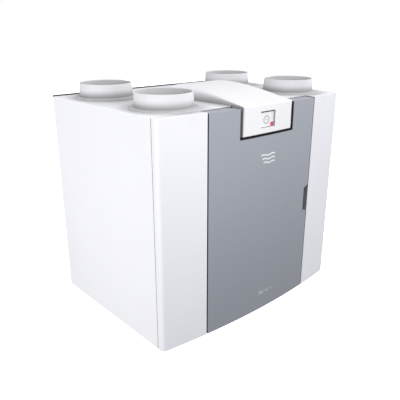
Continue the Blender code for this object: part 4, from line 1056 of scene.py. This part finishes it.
# The dark seal rings the glass; its wide top bar is a painted shadow under the window's top wall.
seal = slab("display_seal", box_outline(screen_low.x, screen_low.z, screen_high.x, screen_high.z, WINDOW_R,
                                        4), "Y", GLASS_Y - 0.0004, screen_high.y)
pane = box_outline(screen_low.x + SEAL, screen_low.z + SEAL, screen_high.x - SEAL, screen_high.z - TOP_SHADOW_BAR,
                   WINDOW_R, 4)
carve(seal, slab("seal_hole", pane, "Y", *THROUGH))
smooth(seal)
fit(seal, dark_plastic)

glass = slab("display_glass", pane, "Y", GLASS_Y, screen_high.y)
soften(glass, GAP)
fit(glass, display_glass, replaces=["display_screen"])


def printed(name, outline):
    """An outline (x, z) that stands on the glass like thick ink."""
    return slab(name, outline, "Y", GLASS_Y - INK, GLASS_Y + INK_IN)


def circle(radius, count=48):
    """An outline (x, z) round the dial's middle."""
    return arc(dial_x, dial_z, radius, 0, 360, count)[:-1]


dial_x, dial_z = DISPLAY_X - 0.0016, DISPLAY_Z - 0.0025
dial = printed("dial_ring", circle(DIAL_R))
carve(dial, slab("hole", circle(DIAL_HOLE_R), "Y", *THROUGH))
smooth(dial)
for step in range(12):
    turn = math.radians(30 * step)
    way = Vector((math.cos(turn), math.sin(turn)))
    across = Vector((-way.y, way.x)) * TICK_HALF
    start, end = way * TICK_FROM, way * TICK_TO
    tick = [start - across, end - across, end + across, start + across]
    carve(dial, printed("tick", [(dial_x + p.x, dial_z + p.y) for p in tick]), "UNION")
carve(dial, smooth(printed("dial_dot", circle(DOT_R))), "UNION")
fit(dial, dial_grey)

key = slab("red_key", box_outline(screen_high.x - 0.0148, screen_low.z + 0.0018, screen_high.x - 0.0014,
                                  screen_low.z + 0.0125, 0.0008, 3), "Y", GLASS_Y - ABOUT, GLASS_Y + ABOUT)
soften(key, INK_IN)
fit(key, key_red)

# %% [markdown]
# ## Lined gaps
# Behind the gap between the hood and the door runs a black foam channel. It is painted shade: it
# makes that gap read as a clean dark line, standing in for the shadow deep in it. It is a thin
# channel round the notch, cut back to the bow so that it stays just behind the door's face.

# %% Build the rear trim
TRIM_DEEP = 0.011
TRIM_OVER = 0.003
TRIM_BEHIND = 0.006
TRIM_R = 0.0015
trim_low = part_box("rear_trim")[0]
trim = slab("rear_edge_trim", rounded([(BACK_Y - TRIM_BEHIND, trim_low.z, 0), (BACK_Y, trim_low.z, 0),
                                       (BACK_Y, TOP_Z + TRIM_OVER, TRIM_R),
                                       (BACK_Y - TRIM_DEEP, TOP_Z + TRIM_OVER, TRIM_R),
                                       (BACK_Y - TRIM_DEEP, TOP_Z + NEAR, 0),
                                       (BACK_Y - TRIM_BEHIND, TOP_Z + NEAR, 0)], 4), "X", -SIDE_X, SIDE_X)
smooth(trim)
fit(trim, rubber, replaces=["rear_trim"])

# %% Build the notch lining
LINING = 0.0016
LINING_SET_BACK = 0.0012
low_z, high_z = NOTCH_Z + GAP, door_high.z - 0.001
wide, narrow = NOTCH_HALF - GAP, NOTCH_HALF - GAP - LINING
channel = [(-wide, high_z), (-wide, low_z), (wide, low_z), (wide, high_z), (narrow, high_z),
           (narrow, low_z + LINING), (-narrow, low_z + LINING), (-narrow, high_z)]
# Painted shade: this black channel darkens the gap round the hood.
lining = slab("notch_shade_lining", channel, "Y", FRONT_Y - OVER, DOOR_REAR_Y - 0.001)
carve(lining, bow_cutter("lining_bow", LINING_SET_BACK), "INTERSECT")
tidy(lining)
smooth(lining)
fit(lining, rubber, "door")

# %% Build the dark strips in the seam and beside the door
SEAM_SHADE_STRIP = 0.004
SEAM_SHADE_STRIP_IN = 0.0002
GAP_SHADE_STRIP = 0.0016
GAP_SHADE_STRIP_SET_BACK = 0.0007

# Painted shade: a black strip fills the seam between each column and side panel, so that the seam reads as
# a dark line.
for side, sign in SIDES.items():
    near, far = sorted((sign * (SIDE_X - SEAM_SHADE_STRIP), sign * (SIDE_X - SEAM_SHADE_STRIP_IN)))
    lip = block("seam_shade_strip_" + side, (near, SEAM_Y + NEAR, SHEET), (far, SEAM_Y + SEAM_GAP, TOP_Z - SHEET))
    soften(lip, SEAM_SHADE_STRIP_IN)
    fit(lip, rubber)
# Painted shade: strips along the right column's edge beside the door darken that gap, black above and
# below the finger recess and dark grey beside it.
edge_x = column_low.x
gap_shade_grey = grained("gap_shade_grey", (0.20, 0.20, 0.21), 0.6, fine=700.0, depth=0.2, wear=0.0)
runs = {"gap_shade_strip_lower": (SHEET, pull_low.z, rubber, "black_rubber"),
        "gap_shade_strip_middle": (pull_low.z, pull_high.z, gap_shade_grey, "grey_plastic"),
        "gap_shade_strip_upper": (pull_high.z, TOP_Z - SHEET, rubber, "black_rubber")}
for name, (low, high, surface, slot) in runs.items():
    run = block(name, (edge_x - GAP_SHADE_STRIP, front_y(edge_x) + GAP_SHADE_STRIP_SET_BACK, low),
                (edge_x - NEAR, DOOR_REAR_Y - 0.001, high))
    soften(run, GAP)
    fit(run, surface)

# %% [markdown]
# ## Marks on the door
# Where such a unit carries its maker's sign, this one has three small white waves for moving air,
# and near the foot three faint strokes in the door's own tone. Each is a strip drawn along a wave
# and pulled a hair's breadth off the bowed face. The door's own face lies that much further in.

# %% Build the marks
mark_white = grained("mark_white", (0.88, 0.88, 0.89), 0.5, depth=0.05, wear=0.0)
mark_tone = grained("mark_tone", (0.45, 0.465, 0.50), 0.45, depth=0.1, wear=0.0)


def wave_strip(left, right, middle_z, rise, thick, waves, count=28):
    """A strip (x, z) that follows a sine wave, as a closed outline."""
    line = []
    for step in range(count + 1):
        share = step / count
        up = rise * math.sin(2 * math.pi * waves * share)
        line.append((left + (right - left) * share, middle_z + up))
    under = [(x, z - thick / 2) for x, z in line]
    over = [(x, z + thick / 2) for x, z in reversed(line)]
    return under + over


def on_face(name, strips):
    """Strips joined into one print that follows the bowed door."""
    made = []
    for strip in strips:
        made.append(slab("strip", strip, "Y", FRONT_Y - OVER, FRONT_Y + OVER))
        carve(made[-1], bow_cutter("face", 0.0), "INTERSECT")
        carve(made[-1], bow_cutter("under", PRINT_HEIGHT + GAP))
    pick(*made)
    bpy.ops.object.join()
    return smooth(settle(name))


TOP_WAVE = (-0.027, 0.034, 0.5105)
WAVE_STEP = (0.006, 0.0115)
WAVE_RISE, WAVE_THICK = 0.0017, 0.0036
STROKES = ((-0.012, 0.010, 0.011), (0.018, 0.034, 0.007), (0.041, 0.052, 0.005))
STROKE_Z, STROKE_RISE = 0.059, 0.0012

left, right, level = TOP_WAVE
strips = [wave_strip(left + WAVE_STEP[0] * i, right, level - WAVE_STEP[1] * i, WAVE_RISE, WAVE_THICK, 1.5)
          for i in range(3)]
waves = on_face("air_mark", strips)
fit(waves, mark_white, "door")
strips = [wave_strip(start, end, STROKE_Z, STROKE_RISE, thick, 1.0) for start, end, thick in STROKES]
strokes = on_face("foot_mark", strips)
fit(strokes, mark_tone, "door")

# %% [markdown]
# ## Finishes for the inner parts
# The parts behind the door stay as they were packed, and take the finish of what they are made
# of. Moulded foam shows its beads: a Voronoi texture gives each bead a dimple and a tone. Hot-dip
# zinc freezes in broad crystals, which are Voronoi cells with a tone and a roughness each. The
# exchanger is a stack of thin plates, and the filters are folded fleece, so both get fine bands.
# The valleys between the bands are painted darker, a painted shade in the folds and between the plates.

# %% Cell and band groups
cells, c_in, c_out = new_group(
    "cells",
    [("Colour", "Color", (0.5, 0.5, 0.5, 1)), ("Scale", "Float", 300.0), ("Tone", "Float", 0.2),
     ("Roughness", "Float", 0.5), ("Depth", "Float", 0.3)],
    [("Colour", "Color"), ("Roughness", "Float"), ("Normal", "Vector")])
c_cell = add(cells, "TexVoronoi", Vector=add(cells, "TexCoord").outputs["Object"],
             Scale=c_in.outputs["Scale"])
c_tone = add(cells, "SeparateXYZ", Vector=c_cell.outputs["Color"])
c_centred = reckon(cells, "SUBTRACT", c_tone.outputs["X"], 0.5)
c_shift = reckon(cells, "MULTIPLY_ADD", c_centred, c_in.outputs["Tone"], 1.0)
c_rough = reckon(cells, "MULTIPLY_ADD", c_centred, 0.15, c_in.outputs["Roughness"])
c_bump = add(cells, "Bump", {"invert": True}, Height=c_cell.outputs["Distance"],
             Strength=c_in.outputs["Depth"], Distance=0.0006)
give(cells, c_out, Colour=tinted(cells, c_in.outputs["Colour"], c_shift), Roughness=c_rough,
     Normal=c_bump.outputs["Normal"])

bands, b_in, b_out = new_group(
    "bands",
    [("Colour", "Color", (0.8, 0.8, 0.8, 1)), ("Valley", "Color", (0.5, 0.5, 0.5, 1)),
     ("Scale", "Float", 60.0), ("Depth", "Float", 0.4), ("Direction", "Vector", (0.0, 1.0, 0.0))],
    [("Colour", "Color"), ("Normal", "Vector")])
b_place = add(bands, "TexCoord").outputs["Object"]
b_along = add(bands, "VectorMath", {"operation": "DOT_PRODUCT"}, i0=b_place, i1=b_in.outputs["Direction"])
b_turn = reckon(bands, "MULTIPLY", b_along.outputs["Value"], b_in.outputs["Scale"])
b_wave = reckon(bands, "PINGPONG", b_turn, 1.0)
b_fuzz = add(bands, "TexNoise", Vector=b_place, Scale=500.0, Detail=2.0)
b_rise = reckon(bands, "MULTIPLY_ADD", b_fuzz.outputs["Fac"], 0.25, b_wave)
# Painted shade: the valleys between folds and plates take a darker colour.
b_mix = add(bands, "Mix", {"data_type": "RGBA"}, Factor=b_wave, A=b_in.outputs["Valley"],
            B=b_in.outputs["Colour"])
b_bump = add(bands, "Bump", Height=b_rise, Strength=b_in.outputs["Depth"], Distance=0.002)
give(bands, b_out, Colour=b_mix.outputs["Result"], Normal=b_bump.outputs["Normal"])


# %% Inner materials
inner = {
    "foam": dressed("moulded_foam", cells, {"Colour": (0.055, 0.056, 0.06, 1), "Scale": 320.0, "Tone": 0.5,
                                            "Roughness": 0.85, "Depth": 0.5}),
    "zinc": dressed("galvanised_steel", cells, {"Colour": (0.60, 0.61, 0.63, 1), "Scale": 90.0,
                                                "Tone": 0.10, "Roughness": 0.40, "Depth": 0.01},
                    Metallic=0.9),
    "steel": grained("bright_steel", (0.60, 0.60, 0.62), 0.3, patch=40.0, fine=900.0, depth=0.1,
                     Metallic=1.0),
    "metal": grained("motor_metal", (0.42, 0.42, 0.44), 0.45, fine=350.0, depth=0.35, Metallic=0.9),
    "fleece": dressed("filter_media", bands, {"Colour": (0.86, 0.86, 0.82, 1), "Scale": 250.0,
                                              "Valley": (0.55, 0.55, 0.52, 1), "Depth": 0.8},
                      Roughness=0.95),
    "plates": dressed("exchanger_plastic", bands, {"Colour": (0.58, 0.68, 0.75, 1),
                                                   "Valley": (0.24, 0.30, 0.35, 1), "Scale": 700.0,
                                                   "Depth": 0.5}, Roughness=0.4),
    "board": dressed("circuit_board", cells, {"Colour": (0.02, 0.17, 0.07, 1), "Scale": 160.0, "Tone": 0.5,
                                              "Roughness": 0.45, "Depth": 0.1}),
    "wheel": grained("impeller_plastic", (0.09, 0.09, 0.10), 0.42, fine=700.0, depth=0.2),
    "white": enamel, "dark": dark_plastic, "grey": grey_plastic, "rubber": rubber, "seal": seal_foam}

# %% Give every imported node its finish
FINISH_OF = {
    "base_plate": "white", "back_panel": "zinc", "hanging_rail": "zinc",
    "front_frame": "zinc", "door_seal": "rubber", "door_liner": "foam", "door_striker": "steel",
    "door_magnet": "dark", "hinge_bracket": "steel", "hinge_lug": "dark", "display_bezel": "white",
    "display_board": "board", "control_board": "board", "control_tray": "dark", "mains_gland": "dark",
    "gasket": "seal", "insulation": "foam", "exchanger_cover": "foam", "heat_exchanger": "plates",
    "filter_left": "fleece", "filter_right": "fleece", "filter_cap": "dark", "condensate_tray": "grey",
    "drain_pipe": "grey", "fan_housing": "grey", "fan_motor": "metal", "impeller": "wheel",
    "bypass": "dark", "air_sensor": "steel"}
dressed_nodes = 0
for name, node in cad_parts.items():
    kinds = [kind for start, kind in FINISH_OF.items() if name.startswith(start)]
    if kinds:
        node.data.materials.clear()
        node.data.materials.append(inner[kinds[0]])
        dressed_nodes += 1
print("packed nodes with a finish:", dressed_nodes)
